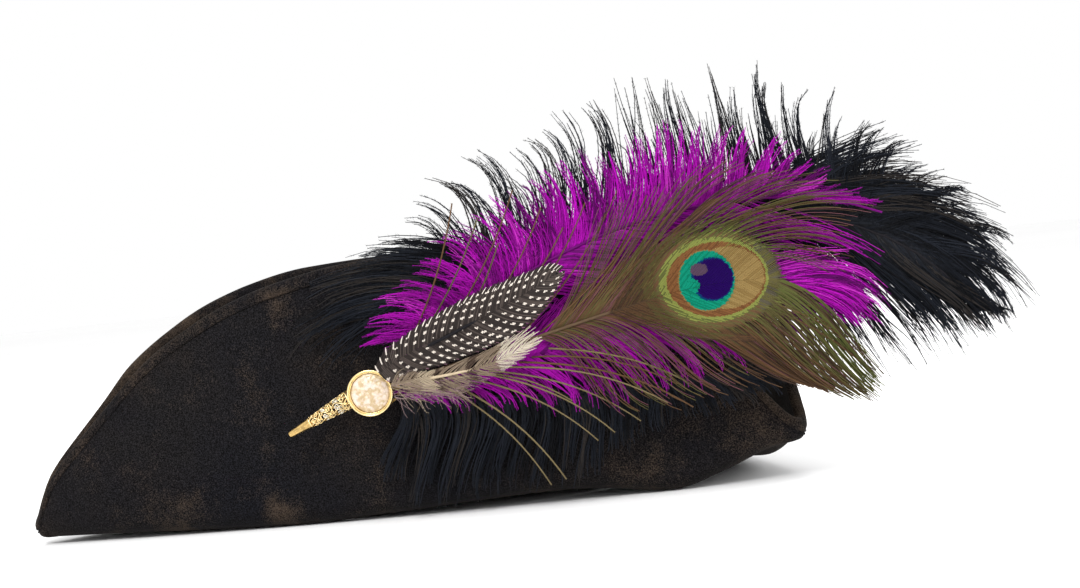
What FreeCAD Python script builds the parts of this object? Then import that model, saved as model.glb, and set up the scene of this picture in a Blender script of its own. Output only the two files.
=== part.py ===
import FreeCAD, Part
import math
import os

# Three-cornered pirate hat with a pinned feather spray. Lengths are in millimetres.
# Hat frame: origin at the centre of the head opening, on the level the hat stands on,
# +Z up, the front tip towards -X, the feathered side towards -Y.
doc = FreeCAD.newDocument("pirate_hat")

SIZES = [
    ("opening_half_length", 105.5),
    ("opening_half_width", 86.5),
    ("opening_level", 9.0),
    ("tip_reach", 217.0),
    ("back_reach", 136.0),
    ("back_half_span", 132.0),
    ("corner_radius", 12.0),
    ("side_bulge", 16.0),
    ("back_bulge", 8.0),
    ("brim_thickness", 3.2),
    ("fold_radius", 10.0),
    ("flap_belly", 2.0),
    ("flap_tuck", 4.0),
    ("binding_height", 5.6),
    ("binding_thickness", 5.2),
    ("edge_wire_radius", 0.8),
    ("crown_wall", 2.5),
    ("crown_wall_top", 92.0),
    ("crown_taper", 0.9),
    ("crown_dome_height", 18.0),
    ("lining_thickness", 0.8),
    ("sweatband_thickness", 1.5),
    ("sweatband_height", 32.0),
    ("spray_along", -25.6),
    ("spray_out", 98.9),
    ("spray_level", 60.5),
    ("spray_angle", -20.04),
    ("plate_half_length", 12.0),
    ("plate_half_width", 8.0),
    ("plate_inner", 4.3),
    ("plate_thickness", 1.0),
    ("pad_radius", 8.5),
    ("medallion_radius", 10.7),
    ("medallion_base", 13.9),
    ("bezel_floor", 1.0),
    ("bezel_height", 3.6),
    ("bezel_rim", 1.9),
    ("cabochon_rise", 3.4),
    ("ferrule_length", 33.6),
    ("ferrule_mouth_radius", 4.2),
    ("ferrule_end_radius", 1.25),
    ("ferrule_wall", 0.5),
    ("ferrule_level", 9.5),
    ("pin_level", 2.3),
    ("pin_radius", 0.45),
    ("pin_length", 18.5),
    ("pin_hinge_at", 9.0),
    ("pin_eye_radius", 1.25),
    ("pin_eye_hole", 0.5),
    ("pin_eye_height", 1.8),
    ("rivet_radius", 0.45),
    ("rivet_length", 4.6),
    ("ear_gap", 2.2),
    ("ear_thickness", 1.0),
    ("ear_length", 2.6),
    ("catch_at", 8.2),
    ("catch_width", 2.0),
    ("catch_slot", 1.5),
    ("quill_radius", 0.95),
]

sheet = doc.addObject("Spreadsheet::Sheet", "sizes")
for row, (name, value) in enumerate(SIZES, start=1):
    sheet.set(f"A{row}", name)
    sheet.set(f"B{row}", str(value))
    sheet.setAlias(f"B{row}", name)
doc.recompute()


def size(name):
    return float(sheet.get(name))


V = FreeCAD.Vector
NODES = []


def keep(obj, label, placement=None):
    obj.Label = label
    if placement is not None:
        obj.Placement = placement
    NODES.append(obj)
    return obj


def coded(label, shape, placement=None):
    """A free-form piece whose shape is computed here from the sheet."""
    obj = doc.addObject("Part::Feature", label)
    obj.Shape = shape
    return keep(obj, label, placement)


def smooth_value(stations, x):
    """Value at x of a smooth curve through the stations, without overshoot."""
    xs = [s[0] for s in stations]
    ys = [s[1] for s in stations]
    last = len(xs) - 1
    if x <= xs[0]:
        return ys[0]
    if x >= xs[last]:
        return ys[last]
    slopes = [(ys[i + 1] - ys[i]) / (xs[i + 1] - xs[i]) for i in range(last)]
    tangents = [slopes[0]]
    for i in range(1, last):
        a, b = slopes[i - 1], slopes[i]
        tangents.append(0.0 if a * b <= 0 else 2 * a * b / (a + b))
    tangents.append(slopes[-1])
    i = 0
    while x > xs[i + 1]:
        i += 1
    span = xs[i + 1] - xs[i]
    t = (x - xs[i]) / span
    rise = (2 * t**3 - 3 * t**2 + 1) * ys[i] + (3 * t**2 - 2 * t**3) * ys[i + 1]
    bend = (t**3 - 2 * t**2 + t) * tangents[i] + (t**3 - t**2) * tangents[i + 1]
    return rise + bend * span


# ---------------------------------------------------------------- brim
# Heights along a side, from the front tip (0) to a back corner (1), and along the
# back from one corner (0) to its middle (0.5): the top of the cloth, and the fold.
SIDE_TOP = [
    (0.0, 7.6), (0.012, 9.5), (0.04, 27), (0.08, 43), (0.128, 60), (0.17, 75), (0.222, 88),
    (0.30, 102), (0.363, 109), (0.457, 115), (0.60, 117), (0.72, 106), (0.82, 82),
    (0.928, 46), (0.985, 23), (1.0, 21.5),
]
SIDE_FOLD = [
    (0.0, 3.0), (0.10, 2.5), (0.24, 1.0), (0.36, 0.0), (0.49, 2.0), (0.69, 5.0), (0.74, 4.0),
    (0.83, 0.0), (0.90, 7.0), (0.96, 15.0), (1.0, 17.0),
]
BACK_TOP = [(0.0, 21.5), (0.02, 24), (0.07, 41), (0.13, 54), (0.22, 73), (0.35, 91), (0.5, 99)]
BACK_FOLD = [(0.0, 17.0), (0.05, 15), (0.20, 6), (0.35, 3), (0.5, 2)]

radius = size("corner_radius")
tip_core = (-(size("tip_reach") - radius), 0.0)
near_core = (size("back_reach") - radius, -(size("back_half_span") - radius))
far_core = (near_core[0], -near_core[1])


def unit(angle):
    return (math.cos(angle), math.sin(angle))


def core_side(start, end, bulge, t):
    """Point of a bowed side between two corner centres, and its outward normal."""
    dx, dy = end[0] - start[0], end[1] - start[1]
    length = math.hypot(dx, dy)
    ex, ey = dx / length, dy / length
    nx, ny = ey, -ex
    bow = 4 * bulge * t * (1 - t)
    slope = 4 * bulge * (1 - 2 * t) / length
    tx, ty = ex + nx * slope, ey + ny * slope
    scale = math.hypot(tx, ty)
    point = (start[0] + dx * t + nx * bow, start[1] + dy * t + ny * bow)
    return point, (ty / scale, -tx / scale)


def near_angle(angle, reference):
    while angle - reference > math.pi:
        angle -= 2 * math.pi
    while angle - reference < -math.pi:
        angle += 2 * math.pi
    return angle


def fold_outline(start, end, bulge, first_angle, last_angle, steps):
    """Fold line from the middle of one corner to the middle of the next.

    Gives (point, outward normal, fraction of the length) for each section.
    """
    raw = []
    normal_a = core_side(start, end, bulge, 0.0)[1]
    normal_b = core_side(start, end, bulge, 1.0)[1]
    angle_a = math.atan2(normal_a[1], normal_a[0])
    angle_b = math.atan2(normal_b[1], normal_b[0])
    first_angle = near_angle(first_angle, angle_a)
    last_angle = near_angle(last_angle, angle_b)
    for i in range(3):
        normal = unit(first_angle + (angle_a - first_angle) * i / 3)
        raw.append(((start[0] + radius * normal[0], start[1] + radius * normal[1]), normal))
    for i in range(steps + 1):
        point, normal = core_side(start, end, bulge, i / steps)
        raw.append(((point[0] + radius * normal[0], point[1] + radius * normal[1]), normal))
    for i in range(1, 4):
        normal = unit(angle_b + (last_angle - angle_b) * i / 3)
        raw.append(((end[0] + radius * normal[0], end[1] + radius * normal[1]), normal))
    lengths = [0.0]
    for a, b in zip(raw, raw[1:]):
        lengths.append(lengths[-1] + math.hypot(b[0][0] - a[0][0], b[0][1] - a[0][1]))
    return [(p, n, d / lengths[-1]) for (p, n), d in zip(raw, lengths)]


def opening_point(direction):
    """Point of the head opening seen from its centre in a direction."""
    x = direction[0] / size("opening_half_length")
    y = direction[1] / size("opening_half_width")
    scale = 1 / math.hypot(x, y)
    return (direction[0] * scale, direction[1] * scale)


def brim_section(fold, normal, low, high):
    """Outer and inner points of the brim's cross-section, opening to top edge."""
    thick = size("brim_thickness")
    height = high - low
    bend = min(size("fold_radius"), 0.85 * height)
    inner_bend = max(bend - thick, 0.3)
    wall = height - bend
    seam = opening_point(fold)
    foot = (fold[0] - normal[0] * bend, fold[1] - normal[1] * bend)
    outer = []
    inner = []
    for share in (0.0, 0.35, 0.7):
        x = seam[0] + (foot[0] - seam[0]) * share
        y = seam[1] + (foot[1] - seam[1]) * share
        ease = share * share * (3 - 2 * share)
        z = size("opening_level") + (low - size("opening_level")) * ease
        outer.append(V(x, y, z))
        inner.append(V(x, y, z + thick))
    for degrees in (-90, -60, -30, 0):
        c = math.cos(math.radians(degrees))
        s = math.sin(math.radians(degrees))
        outer.append(V(foot[0] + normal[0] * bend * c, foot[1] + normal[1] * bend * c, low + bend + bend * s))
        reach = inner_bend * c
        lift = low + thick + inner_bend * (1 + s)
        inner.append(V(foot[0] + normal[0] * reach, foot[1] + normal[1] * reach, lift))
    for share in (0.35, 0.7, 1.0):
        belly = size("flap_belly") * 4 * share * (1 - share) * min(1.0, wall / 60)
        tuck = size("flap_tuck") * share * share * min(1.0, wall / 60)
        out = belly - tuck
        z = low + bend + wall * share
        outer.append(V(fold[0] + normal[0] * out, fold[1] + normal[1] * out, z))
        out -= thick
        inner.append(V(fold[0] + normal[0] * out, fold[1] + normal[1] * out, z))
    return outer, inner


def curve_through(points):
    curve = Part.BSplineCurve()
    curve.interpolate(points)
    return curve


def section_wire(outer, inner):
    """Closed outline through the outer points, across, and back along the inner ones."""
    there = curve_through(outer).toShape()
    back = curve_through(inner[::-1]).toShape()
    top = Part.makeLine(outer[-1], inner[-1])
    bottom = Part.makeLine(inner[0], outer[0])
    return Part.Wire([there, top, back, bottom])


def mirrored_half(stations, x):
    return smooth_value(stations, min(x, 1 - x))


def brim_heights(panel, fraction):
    if panel == "back":
        return mirrored_half(BACK_FOLD, fraction), mirrored_half(BACK_TOP, fraction)
    return smooth_value(SIDE_FOLD, fraction), smooth_value(SIDE_TOP, fraction)


bisector = math.atan2(near_core[1], near_core[0])
near_outline = fold_outline(tip_core, near_core, size("side_bulge"), math.pi, bisector, 22)
back_outline = fold_outline(near_core, far_core, size("back_bulge"), bisector, -bisector, 16)


def binding_rows(outline, panel):
    """Rounded cross-sections of the edge binding, and the line of its wire."""
    rows = []
    middle = []
    thick = size("brim_thickness")
    half = size("binding_thickness") / 2
    tall = size("binding_height")
    for fold, normal, fraction in outline:
        low, high = brim_heights(panel, fraction)
        top_outer, top_inner = brim_section(fold, normal, low, high)
        edge = (top_outer[-1] + top_inner[-1]) * 0.5
        out = V(normal[0], normal[1], 0)
        row = []
        for step in range(9):
            angle = math.pi * step / 8
            across = half * math.cos(angle)
            up = tall * math.sin(angle) ** 0.7 if 0 < step < 8 else 0.0
            row.append(edge + out * across + V(0, 0, up))
        rows.append(row)
        middle.append(edge + V(0, 0, tall * 0.55))
    return rows, middle


def tube(points, start_radius, end_radius, side_hint):
    """Round rod along a smooth line that never runs along side_hint."""
    curve = curve_through(points)
    steps = len(points) * 2
    rings = []
    for i in range(steps + 1):
        share = i / steps
        parameter = curve.FirstParameter + (curve.LastParameter - curve.FirstParameter) * share
        direction = curve.tangent(parameter)[0]
        first = direction.cross(side_hint).normalize()
        frame = FreeCAD.Rotation(first, direction.cross(first), direction, "ZXY")
        ring = Part.makeCircle(start_radius + (end_radius - start_radius) * share)
        ring.Placement = FreeCAD.Placement(curve.value(parameter), frame)
        rings.append(Part.Wire([ring]))
    return Part.makeLoft(rings, True, True)


def brim_panel(outline, panel):
    wires = []
    for fold, normal, fraction in outline:
        low, high = brim_heights(panel, fraction)
        wires.append(section_wire(*brim_section(fold, normal, low, high)))
    return Part.makeLoft(wires, True, True)


def binding_panel(outline, panel):
    rows, middle = binding_rows(outline, panel)
    wires = []
    for row in rows:
        arc = curve_through(row).toShape()
        wires.append(Part.Wire([arc, Part.makeLine(row[-1], row[0])]))
    wire_radius = size("edge_wire_radius")
    rod = tube(middle, wire_radius, wire_radius, V(0, 0, 1))
    return Part.makeLoft(wires, True, True).cut(rod), rod


left_binding, left_rod = binding_panel(near_outline, "side")
back_binding, back_rod = binding_panel(back_outline, "back")
left_flap = brim_panel(near_outline, "side")
across_hat = (V(0, 0, 0), V(0, 1, 0))
coded("left_brim_flap", left_flap)
coded("right_brim_flap", left_flap.mirror(*across_hat))
coded("back_brim_flap", brim_panel(back_outline, "back"))
coded("left_edge_binding", left_binding)
coded("right_edge_binding", left_binding.mirror(*across_hat))
coded("back_edge_binding", back_binding)
coded("brim_edge_wire", Part.makeCompound([left_rod, left_rod.mirror(*across_hat), back_rod]))


# ---------------------------------------------------------------- crown
def oval(inset, scale, level):
    long_half = (size("opening_half_length") - inset) * scale
    short_half = (size("opening_half_width") - inset) * scale
    return Part.Wire([Part.Ellipse(V(0, 0, level), long_half, short_half).toShape()])


def oval_wall(outer_inset, inner_inset, bottom, top, taper):
    def block(inset, low, high):
        rings = [oval(inset, 1.0 + (taper - 1.0) * (z / size("crown_wall_top")), z) for z in (low, high)]
        return Part.makeLoft(rings, True, True)

    return block(outer_inset, bottom, top).cut(block(inner_inset, bottom - 1, top + 1))


def dome(inset, thickness, level):
    """Shallow oval cap, hollow underneath."""
    scale = size("crown_taper")
    height = size("crown_dome_height") - inset

    def cap(more):
        ball = Part.makeSphere(1.0)
        matrix = FreeCAD.Matrix()
        matrix.scale(
            size("opening_half_length") * scale - inset - more,
            size("opening_half_width") * scale - inset - more,
            height - more,
        )
        return ball.transformGeometry(matrix)

    shell = cap(0).cut(cap(thickness))
    keep_box = Part.makeBox(300, 300, 60, V(-150, -150, 0))
    half = shell.common(keep_box)
    half.translate(V(0, 0, level))
    return half


wall_top = size("crown_wall_top")
taper = size("crown_taper")
wall = size("crown_wall")
lining = size("lining_thickness")
coded("crown_side_band", oval_wall(0.0, wall, size("opening_level"), wall_top, taper))
coded("crown_tip", dome(0.0, wall, wall_top))
lining_wall = oval_wall(wall, wall + lining, size("opening_level") + 2, wall_top, taper)
lining_cap = dome(wall, lining, wall_top)
coded("crown_lining", lining_wall.fuse(lining_cap))
band = size("sweatband_thickness")
band_top = size("opening_level") + size("sweatband_height")
inset = wall + lining
coded("sweatband", oval_wall(inset, inset + band, size("opening_level") + 1, band_top, taper))

# ---------------------------------------------------------------- feather spray
# Spray frame: x runs along the feathered side towards the back, z is up and the
# feathers stand off the hat towards -y. The medallion's centre is at x = z = 0.
turn = math.radians(size("spray_angle"))
along = V(math.cos(turn), math.sin(turn), 0)
outward = V(math.sin(turn), -math.cos(turn), 0)
spray_origin = along * size("spray_along") + outward * size("spray_out") + V(0, 0, size("spray_level"))
spray = FreeCAD.Placement(spray_origin, FreeCAD.Rotation(V(0, 0, 1), size("spray_angle")))
facing = FreeCAD.Rotation(V(1, 0, 0), 90)


def out_from_hat(distance):
    """Placement that lays a body's z axis along the spray's outward direction."""
    return spray.multiply(FreeCAD.Placement(V(0, -distance, 0), facing))


def plane_of(body, role):
    for feature in body.Origin.OriginFeatures:
        if feature.Role == role:
            return feature
    raise RuntimeError(role)


def sketch_on(body, name, role):
    sketch = body.newObject("Sketcher::SketchObject", name)
    sketch.AttachmentSupport = [(plane_of(body, role), "")]
    sketch.MapMode = "FlatFace"
    return sketch


# Back plate: a rounded plate that carries the pin's ears and catch.
plate = doc.addObject("PartDesign::Body", "back_plate")
plate_sketch = sketch_on(plate, "plate_outline", "XY_Plane")
plate_sketch.addGeometry(
    Part.Ellipse(V(0, 0, 0), size("plate_half_length"), size("plate_half_width")), False
)
plate_pad = plate.newObject("PartDesign::Pad", "plate_pad")
plate_pad.Profile = plate_sketch
plate_pad.setExpression("Length", "sizes.plate_thickness")
keep(plate, "spray_back_plate", out_from_hat(size("plate_inner")))
doc.recompute()

# Bezel: a shallow round cup, revolved about its axis.
bezel = doc.addObject("PartDesign::Body", "bezel")
bezel_sketch = sketch_on(bezel, "bezel_profile", "XZ_Plane")
rim_out = size("medallion_radius")
rim_in = rim_out - size("bezel_rim")
floor = size("bezel_floor")
tall = size("bezel_height")
profile = [
    (0, 0), (rim_out - 0.8, 0), (rim_out, 0.8), (rim_out, tall - 1.0), (rim_out - 0.7, tall),
    (rim_in + 0.5, tall), (rim_in, tall - 0.6), (rim_in, floor), (0, floor),
]
for a, b in zip(profile, profile[1:] + profile[:1]):
    bezel_sketch.addGeometry(Part.LineSegment(V(a[0], a[1], 0), V(b[0], b[1], 0)), False)
bezel_turn = bezel.newObject("PartDesign::Revolution", "bezel_turn")
bezel_turn.Profile = bezel_sketch
bezel_turn.ReferenceAxis = (bezel_sketch, ["V_Axis"])
bezel_turn.Angle = 360
keep(bezel, "medallion_bezel", out_from_hat(size("medallion_base")))
doc.recompute()

# Cabochon: the upper cap of a flattened ball, seated in the cup.
ball = doc.addObject("Part::Ellipsoid", "cabochon_ball")
ball.setExpression("Radius1", "sizes.cabochon_rise + 1")
ball.setExpression("Radius2", "sizes.medallion_radius - sizes.bezel_rim - 0.02")
ball.setExpression("Radius3", "sizes.medallion_radius - sizes.bezel_rim - 0.02")
seat = doc.addObject("Part::Cylinder", "cabochon_seat")
seat.setExpression("Radius", "sizes.medallion_radius")
seat.Height = 10
gem = doc.addObject("Part::MultiCommon", "cabochon_cap")
gem.Shapes = [ball, seat]
doc.recompute()
keep(gem, "medallion_cabochon", out_from_hat(size("medallion_base") + floor))

# Ferrule: the cone that holds the quills, open at its mouth and closed at its end.
mouth = V(-10.5, -size("ferrule_level"), -2.0)
slope = math.atan2(14.0, 30.0)
bundle = V(math.cos(slope), 0, math.sin(slope))
ferrule = doc.addObject("PartDesign::Body", "ferrule")
ferrule_sketch = sketch_on(ferrule, "ferrule_profile", "XZ_Plane")
reach = size("ferrule_length")
wide = size("ferrule_mouth_radius")
narrow = size("ferrule_end_radius")
shell_wall = size("ferrule_wall")
profile = [
    (0, 0), (narrow, 0), (narrow + 0.25, 1.2), (wide - 0.3, reach - 0.8), (wide, reach),
    (wide - shell_wall, reach), (narrow - 0.15, 5.0), (0, 5.0),
]
for a, b in zip(profile, profile[1:] + profile[:1]):
    ferrule_sketch.addGeometry(Part.LineSegment(V(a[0], a[1], 0), V(b[0], b[1], 0)), False)
ferrule_turn = ferrule.newObject("PartDesign::Revolution", "ferrule_turn")
ferrule_turn.Profile = ferrule_sketch
ferrule_turn.ReferenceAxis = (ferrule_sketch, ["V_Axis"])
ferrule_turn.Angle = 360
ferrule_place = FreeCAD.Placement(mouth - bundle * reach, FreeCAD.Rotation(V(0, 0, 1), bundle))
keep(ferrule, "quill_ferrule", spray.multiply(ferrule_place))
doc.recompute()

# Quills: each enters the ferrule in its own place in the bundle, passes under the
# medallion, then rises to the layer its vane lies in. Points are (x, z).
across = V(-bundle.z, 0, bundle.x)
FEATHERS = [
    # name, place in the bundle (across, out), layer, quill points, tip radius
    ("black_plume", (1.05, -2.1), 6.0, 0.5,
     [(5, 5), (38, 26), (82, 47), (130, 62), (184, 64), (231, 51), (264, 27), (279, 3)]),
    ("black_lower_plume", (-1.05, -2.1), 6.0, 0.5,
     [(12, -4), (58, -8), (123, -9), (180, -6)]),
    ("purple_plume", (2.1, -0.2), 11.3, 0.5,
     [(7, 8), (49, 33), (93, 54), (139, 67), (184, 70), (219, 65), (238, 58)]),
    ("purple_lower_plume", (-2.1, 0.0), 15.5, 0.5,
     [(14, -1), (61, 7), (117, 17), (171, 26), (211, 22), (226, 12)]),
    ("peacock", (0.0, 0.0), 19.3, 0.5,
     [(14, 3.5), (48, 11), (83, 19), (118, 27), (160, 34), (187, 34)]),
    ("guinea", (1.05, 2.35), 22.4, 0.45,
     [(11, 11.5), (50, 27), (92, 46)]),
    ("barred", (-1.05, 2.3), 25.0, 0.4,
     [(13, 3), (44, 6), (78, 16)]),
]
quills = {}
for name, place, layer, tip_radius, points in FEATHERS:
    level = size("ferrule_level") + place[1]
    start = V(mouth.x, -level, mouth.z) + across * place[0] - bundle * 1.4
    path = [start, start + bundle * 5.0]
    for x, z in points:
        share = smooth_value([(12, 0.0), (31, 1.0)], x)
        path.append(V(x, -(level + (layer - level) * share), z))
        if x <= 14:
            follow = points[1]
            part = (31 - x) / (follow[0] - x)
            path.append(V(31, -layer, z + (follow[1] - z) * part))
    quills[name] = tube(path, size("quill_radius"), tip_radius, V(0, 1, 0))

# Vanes: leaf-shaped plates in their layers, each with a tunnel for its own quill.
VANES = [
    # feather, inner face, outer face, outline (x, z)
    ("black_plume", 3.5, 8.4, [
        (-33, 25), (-20, 52), (29, 69), (79, 105), (141, 131), (190, 127), (236, 99), (271, 57),
        (298, 20), (288, -2), (252, -11), (226, 2), (189, 28), (128, 44), (62, 22), (24, 13),
        (-8, 15)]),
    ("black_lower_plume", 3.5, 8.4, [
        (17, -14), (8, -46), (39, -53), (81, -51), (120, -34), (149, -22), (187, -19),
        (190, 0), (123, -1), (59, -2), (24, -2)]),
    ("purple_plume", 9.3, 13.3, [
        (-8, 25), (35, 71), (79, 96), (139, 114), (197, 106), (240, 68), (243, 40), (200, 49),
        (129, 52), (66, 32), (32, 22)]),
    ("purple_lower_plume", 13.8, 17.2, [
        (36, -11), (86, -17), (149, -17), (215, -2), (240, 25), (199, 43), (133, 42), (66, 20),
        (38, 6)]),
    ("peacock", 18.0, 20.6, [
        (60, 6), (90, 45), (135, 84), (204, 88), (242, 58), (222, 32), (228, -20), (177, -8),
        (105, -8)]),
    ("guinea", 21.3, 23.5, [
        (24, 4), (26, 28), (60, 45), (88, 56), (96, 47), (88, 31), (62, 16)]),
    ("barred", 24.0, 26.0, [
        (28, -4), (30, 10), (56, 18), (76, 23), (81, 17), (74, 9), (52, -3)]),
]
all_quills = Part.makeCompound(list(quills.values()))
for name, near, far, outline in VANES:
    points = [V(x, -near, z) for x, z in outline]
    edge = Part.BSplineCurve()
    edge.interpolate(points, PeriodicFlag=True)
    leaf = Part.Face(Part.Wire([edge.toShape()])).extrude(V(0, near - far, 0))
    for quill in quills.values():
        leaf = leaf.cut(quill)
    coded(f"{name}_quill", quills[name], spray)
    coded(f"{name}_vane", leaf, spray)

# Glue pad between the plate and the medallion: two discs joined on both sides of the
# fan-shaped tunnel in which the quills spread.
pad_base = size("plate_inner") + size("plate_thickness")
pad_length = size("medallion_base") - pad_base
pad = Part.makeCylinder(size("pad_radius"), pad_length, V(0, -pad_base, 0), V(0, -1, 0))
bundle_half = 2.35 + size("quill_radius") + 0.25
tunnel_points = [
    V(x, -(size("ferrule_level") - bundle_half), z)
    for x, z in [(-12, -5.6), (-12, 1.6), (0, 7.4), (4, 14), (12, 14), (12, -6.6), (0, -4.6), (-12, -5.6)]
]
tunnel = Part.Face(Part.makePolygon(tunnel_points)).extrude(V(0, -2 * bundle_half, 0))
pad = pad.cut(tunnel)
coded("glue_pad", pad, spray)
for name, quill in quills.items():
    if quill.common(pad).Volume > 0.01:
        raise ValueError(f"{name} quill runs into the glue pad")

# Pin: an eye that turns on a rivet between two ears, and a rod to the catch.
pin_y = -size("pin_level")
hinge_x = -size("pin_hinge_at")
ear_bottom = size("ear_gap") / 2
ears = []
for side in (-1, 1):
    low = ear_bottom if side > 0 else -ear_bottom - size("ear_thickness")
    start = V(hinge_x - size("ear_length") / 2, -size("plate_inner"), low)
    ear = Part.makeBox(size("ear_length"), size("plate_inner") - 1.0, size("ear_thickness"), start)
    hole = Part.makeCylinder(size("rivet_radius"), 20, V(hinge_x, pin_y, -10), V(0, 0, 1))
    ears.append(ear.cut(hole))
coded("pin_hinge_ears", Part.makeCompound(ears), spray)

rivet = doc.addObject("Part::Cylinder", "rivet")
rivet.setExpression("Radius", "sizes.rivet_radius")
rivet.setExpression("Height", "sizes.rivet_length")
doc.recompute()
rivet_place = FreeCAD.Placement(V(hinge_x, pin_y, -size("rivet_length") / 2), FreeCAD.Rotation())
keep(rivet, "pin_hinge_rivet", spray.multiply(rivet_place))

eye_height = size("pin_eye_height")
eye = Part.makeCylinder(size("pin_eye_radius"), eye_height, V(hinge_x, pin_y, -eye_height / 2), V(0, 0, 1))
rod = Part.makeCylinder(size("pin_radius"), size("pin_length") - 2, V(hinge_x, pin_y, 0), V(1, 0, 0))
point_start = V(hinge_x + size("pin_length") - 2, pin_y, 0)
point = Part.makeCone(size("pin_radius"), 0.08, 2, point_start, V(1, 0, 0))
bore = Part.makeCylinder(size("pin_eye_hole"), 10, V(hinge_x, pin_y, -5), V(0, 0, 1))
coded("pin_stem", eye.fuse([rod, point]).cut(bore), spray)

catch_depth = size("plate_inner") - 1.1
catch_side = size("catch_slot") / 2 + 0.8
corner = V(size("catch_at") - size("catch_width") / 2, -size("plate_inner"), -catch_side)
catch = Part.makeBox(size("catch_width"), catch_depth, 2 * catch_side, corner)
slot_corner = V(corner.x - 1, -(size("pin_level") + 0.8), -size("catch_slot") / 2)
slot = Part.makeBox(size("catch_width") + 2, 5, size("catch_slot"), slot_corner)
coded("pin_catch", catch.cut(slot), spray)

# ---------------------------------------------------------------- write the pieces
doc.recompute()
os.makedirs("parts", exist_ok=True)
problems = []
for obj in doc.Objects:
    if any(word in obj.State for word in ("Invalid", "Error")):
        problems.append(f"{obj.Label}: {obj.State}")
for obj in NODES:
    shape = obj.Shape
    if shape.isNull() or not shape.isValid() or shape.Volume <= 0:
        problems.append(f"{obj.Label}: bad shape")
        continue
    shape.exportStep(f"parts/{obj.Label}.step")
    box = shape.BoundBox
    print(
        f"{obj.Label:24s} solids {len(shape.Solids)} volume {shape.Volume:10.1f} "
        f"x {box.XMin:7.1f} {box.XMax:7.1f} y {box.YMin:7.1f} {box.YMax:7.1f} z {box.ZMin:6.1f} {box.ZMax:6.1f}"
    )
if problems:
    raise RuntimeError("; ".join(problems))
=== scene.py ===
import math

import bpy
import numpy as np
from mathutils import Matrix, Vector


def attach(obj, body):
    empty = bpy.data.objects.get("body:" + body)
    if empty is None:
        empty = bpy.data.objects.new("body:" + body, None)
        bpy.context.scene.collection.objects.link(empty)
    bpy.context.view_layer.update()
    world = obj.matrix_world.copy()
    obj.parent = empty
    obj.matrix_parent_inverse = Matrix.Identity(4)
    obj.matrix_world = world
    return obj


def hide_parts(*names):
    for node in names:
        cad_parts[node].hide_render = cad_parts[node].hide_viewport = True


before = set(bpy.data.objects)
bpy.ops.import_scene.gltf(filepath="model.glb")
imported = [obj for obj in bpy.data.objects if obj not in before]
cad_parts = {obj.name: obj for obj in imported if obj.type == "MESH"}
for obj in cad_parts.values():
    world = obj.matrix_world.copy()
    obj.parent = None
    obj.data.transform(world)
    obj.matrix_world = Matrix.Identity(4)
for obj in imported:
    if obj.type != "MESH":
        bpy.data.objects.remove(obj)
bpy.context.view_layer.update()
MM = 0.001


# ---------------------------------------------------------------- helpers
def smooth_value(stations, x):
    """Smooth curve through (x, value) stations, without overshoot, for an array x."""
    xs = np.array([s[0] for s in stations], float)
    ys = np.array([s[1] for s in stations], float)
    slopes = np.diff(ys) / np.diff(xs)
    tangents = np.zeros(len(xs))
    tangents[0], tangents[-1] = slopes[0], slopes[-1]
    for i in range(1, len(xs) - 1):
        a, b = slopes[i - 1], slopes[i]
        tangents[i] = 0.0 if a * b <= 0 else 2 * a * b / (a + b)
    x = np.clip(np.asarray(x, float), xs[0], xs[-1])
    i = np.clip(np.searchsorted(xs, x, side="right") - 1, 0, len(xs) - 2)
    span = xs[i + 1] - xs[i]
    t = (x - xs[i]) / span
    rise = (2 * t**3 - 3 * t**2 + 1) * ys[i] + (3 * t**2 - 2 * t**3) * ys[i + 1]
    bend = (t**3 - 2 * t**2 + t) * tangents[i] + (t**3 - t**2) * tangents[i + 1]
    return rise + bend * span


def mesh_object(name, verts, faces, materials, slots=None, smooth=True):
    """Mesh from vertices in millimetres; faces is an array of 3 or 4 columns, or a list of them."""
    groups = faces if isinstance(faces, list) else [faces]
    groups = [np.asarray(g, np.int32) for g in groups if len(g)]
    mesh = bpy.data.meshes.new(name)
    verts = np.asarray(verts, np.float32) * MM
    mesh.vertices.add(len(verts))
    mesh.vertices.foreach_set("co", verts.ravel())
    totals = np.concatenate([np.full(len(g), g.shape[1], np.int32) for g in groups])
    loops = np.concatenate([g.ravel() for g in groups])
    starts = np.concatenate([[0], np.cumsum(totals)[:-1]]).astype(np.int32)
    mesh.loops.add(len(loops))
    mesh.loops.foreach_set("vertex_index", loops)
    mesh.polygons.add(len(totals))
    mesh.polygons.foreach_set("loop_start", starts)
    mesh.polygons.foreach_set("loop_total", totals)
    if slots is not None:
        mesh.polygons.foreach_set("material_index", np.asarray(slots, np.int32))
    mesh.polygons.foreach_set("use_smooth", np.full(len(totals), smooth, bool))
    mesh.update(calc_edges=True)
    mesh.validate()
    for material in materials if isinstance(materials, (list, tuple)) else [materials]:
        mesh.materials.append(material)
    obj = bpy.data.objects.new(name, mesh)
    bpy.context.scene.collection.objects.link(obj)
    return obj


def grid_faces(rows, columns, offset=0, wrap_rows=False, wrap_columns=False, flip=False):
    """Quads of a grid whose vertex (i, j) has index offset + i * columns + j."""
    i = np.arange(rows if wrap_rows else rows - 1)
    j = np.arange(columns if wrap_columns else columns - 1)
    i, j = np.meshgrid(i, j, indexing="ij")
    a = (i * columns + j).ravel()
    b = (i * columns + (j + 1) % columns).ravel()
    c = (((i + 1) % rows) * columns + (j + 1) % columns).ravel()
    d = (((i + 1) % rows) * columns + j).ravel()
    quads = np.stack([a, b, c, d], 1) + offset
    return quads[:, ::-1] if flip else quads


def fan(row, pole, columns, flip=False):
    """Triangles from one row of a grid to a single vertex."""
    j = np.arange(columns)
    k = (j + 1) % columns
    near, far = (k, j) if flip else (j, k)
    return np.stack([row * columns + near, row * columns + far, np.full(columns, pole)], 1)


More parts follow.
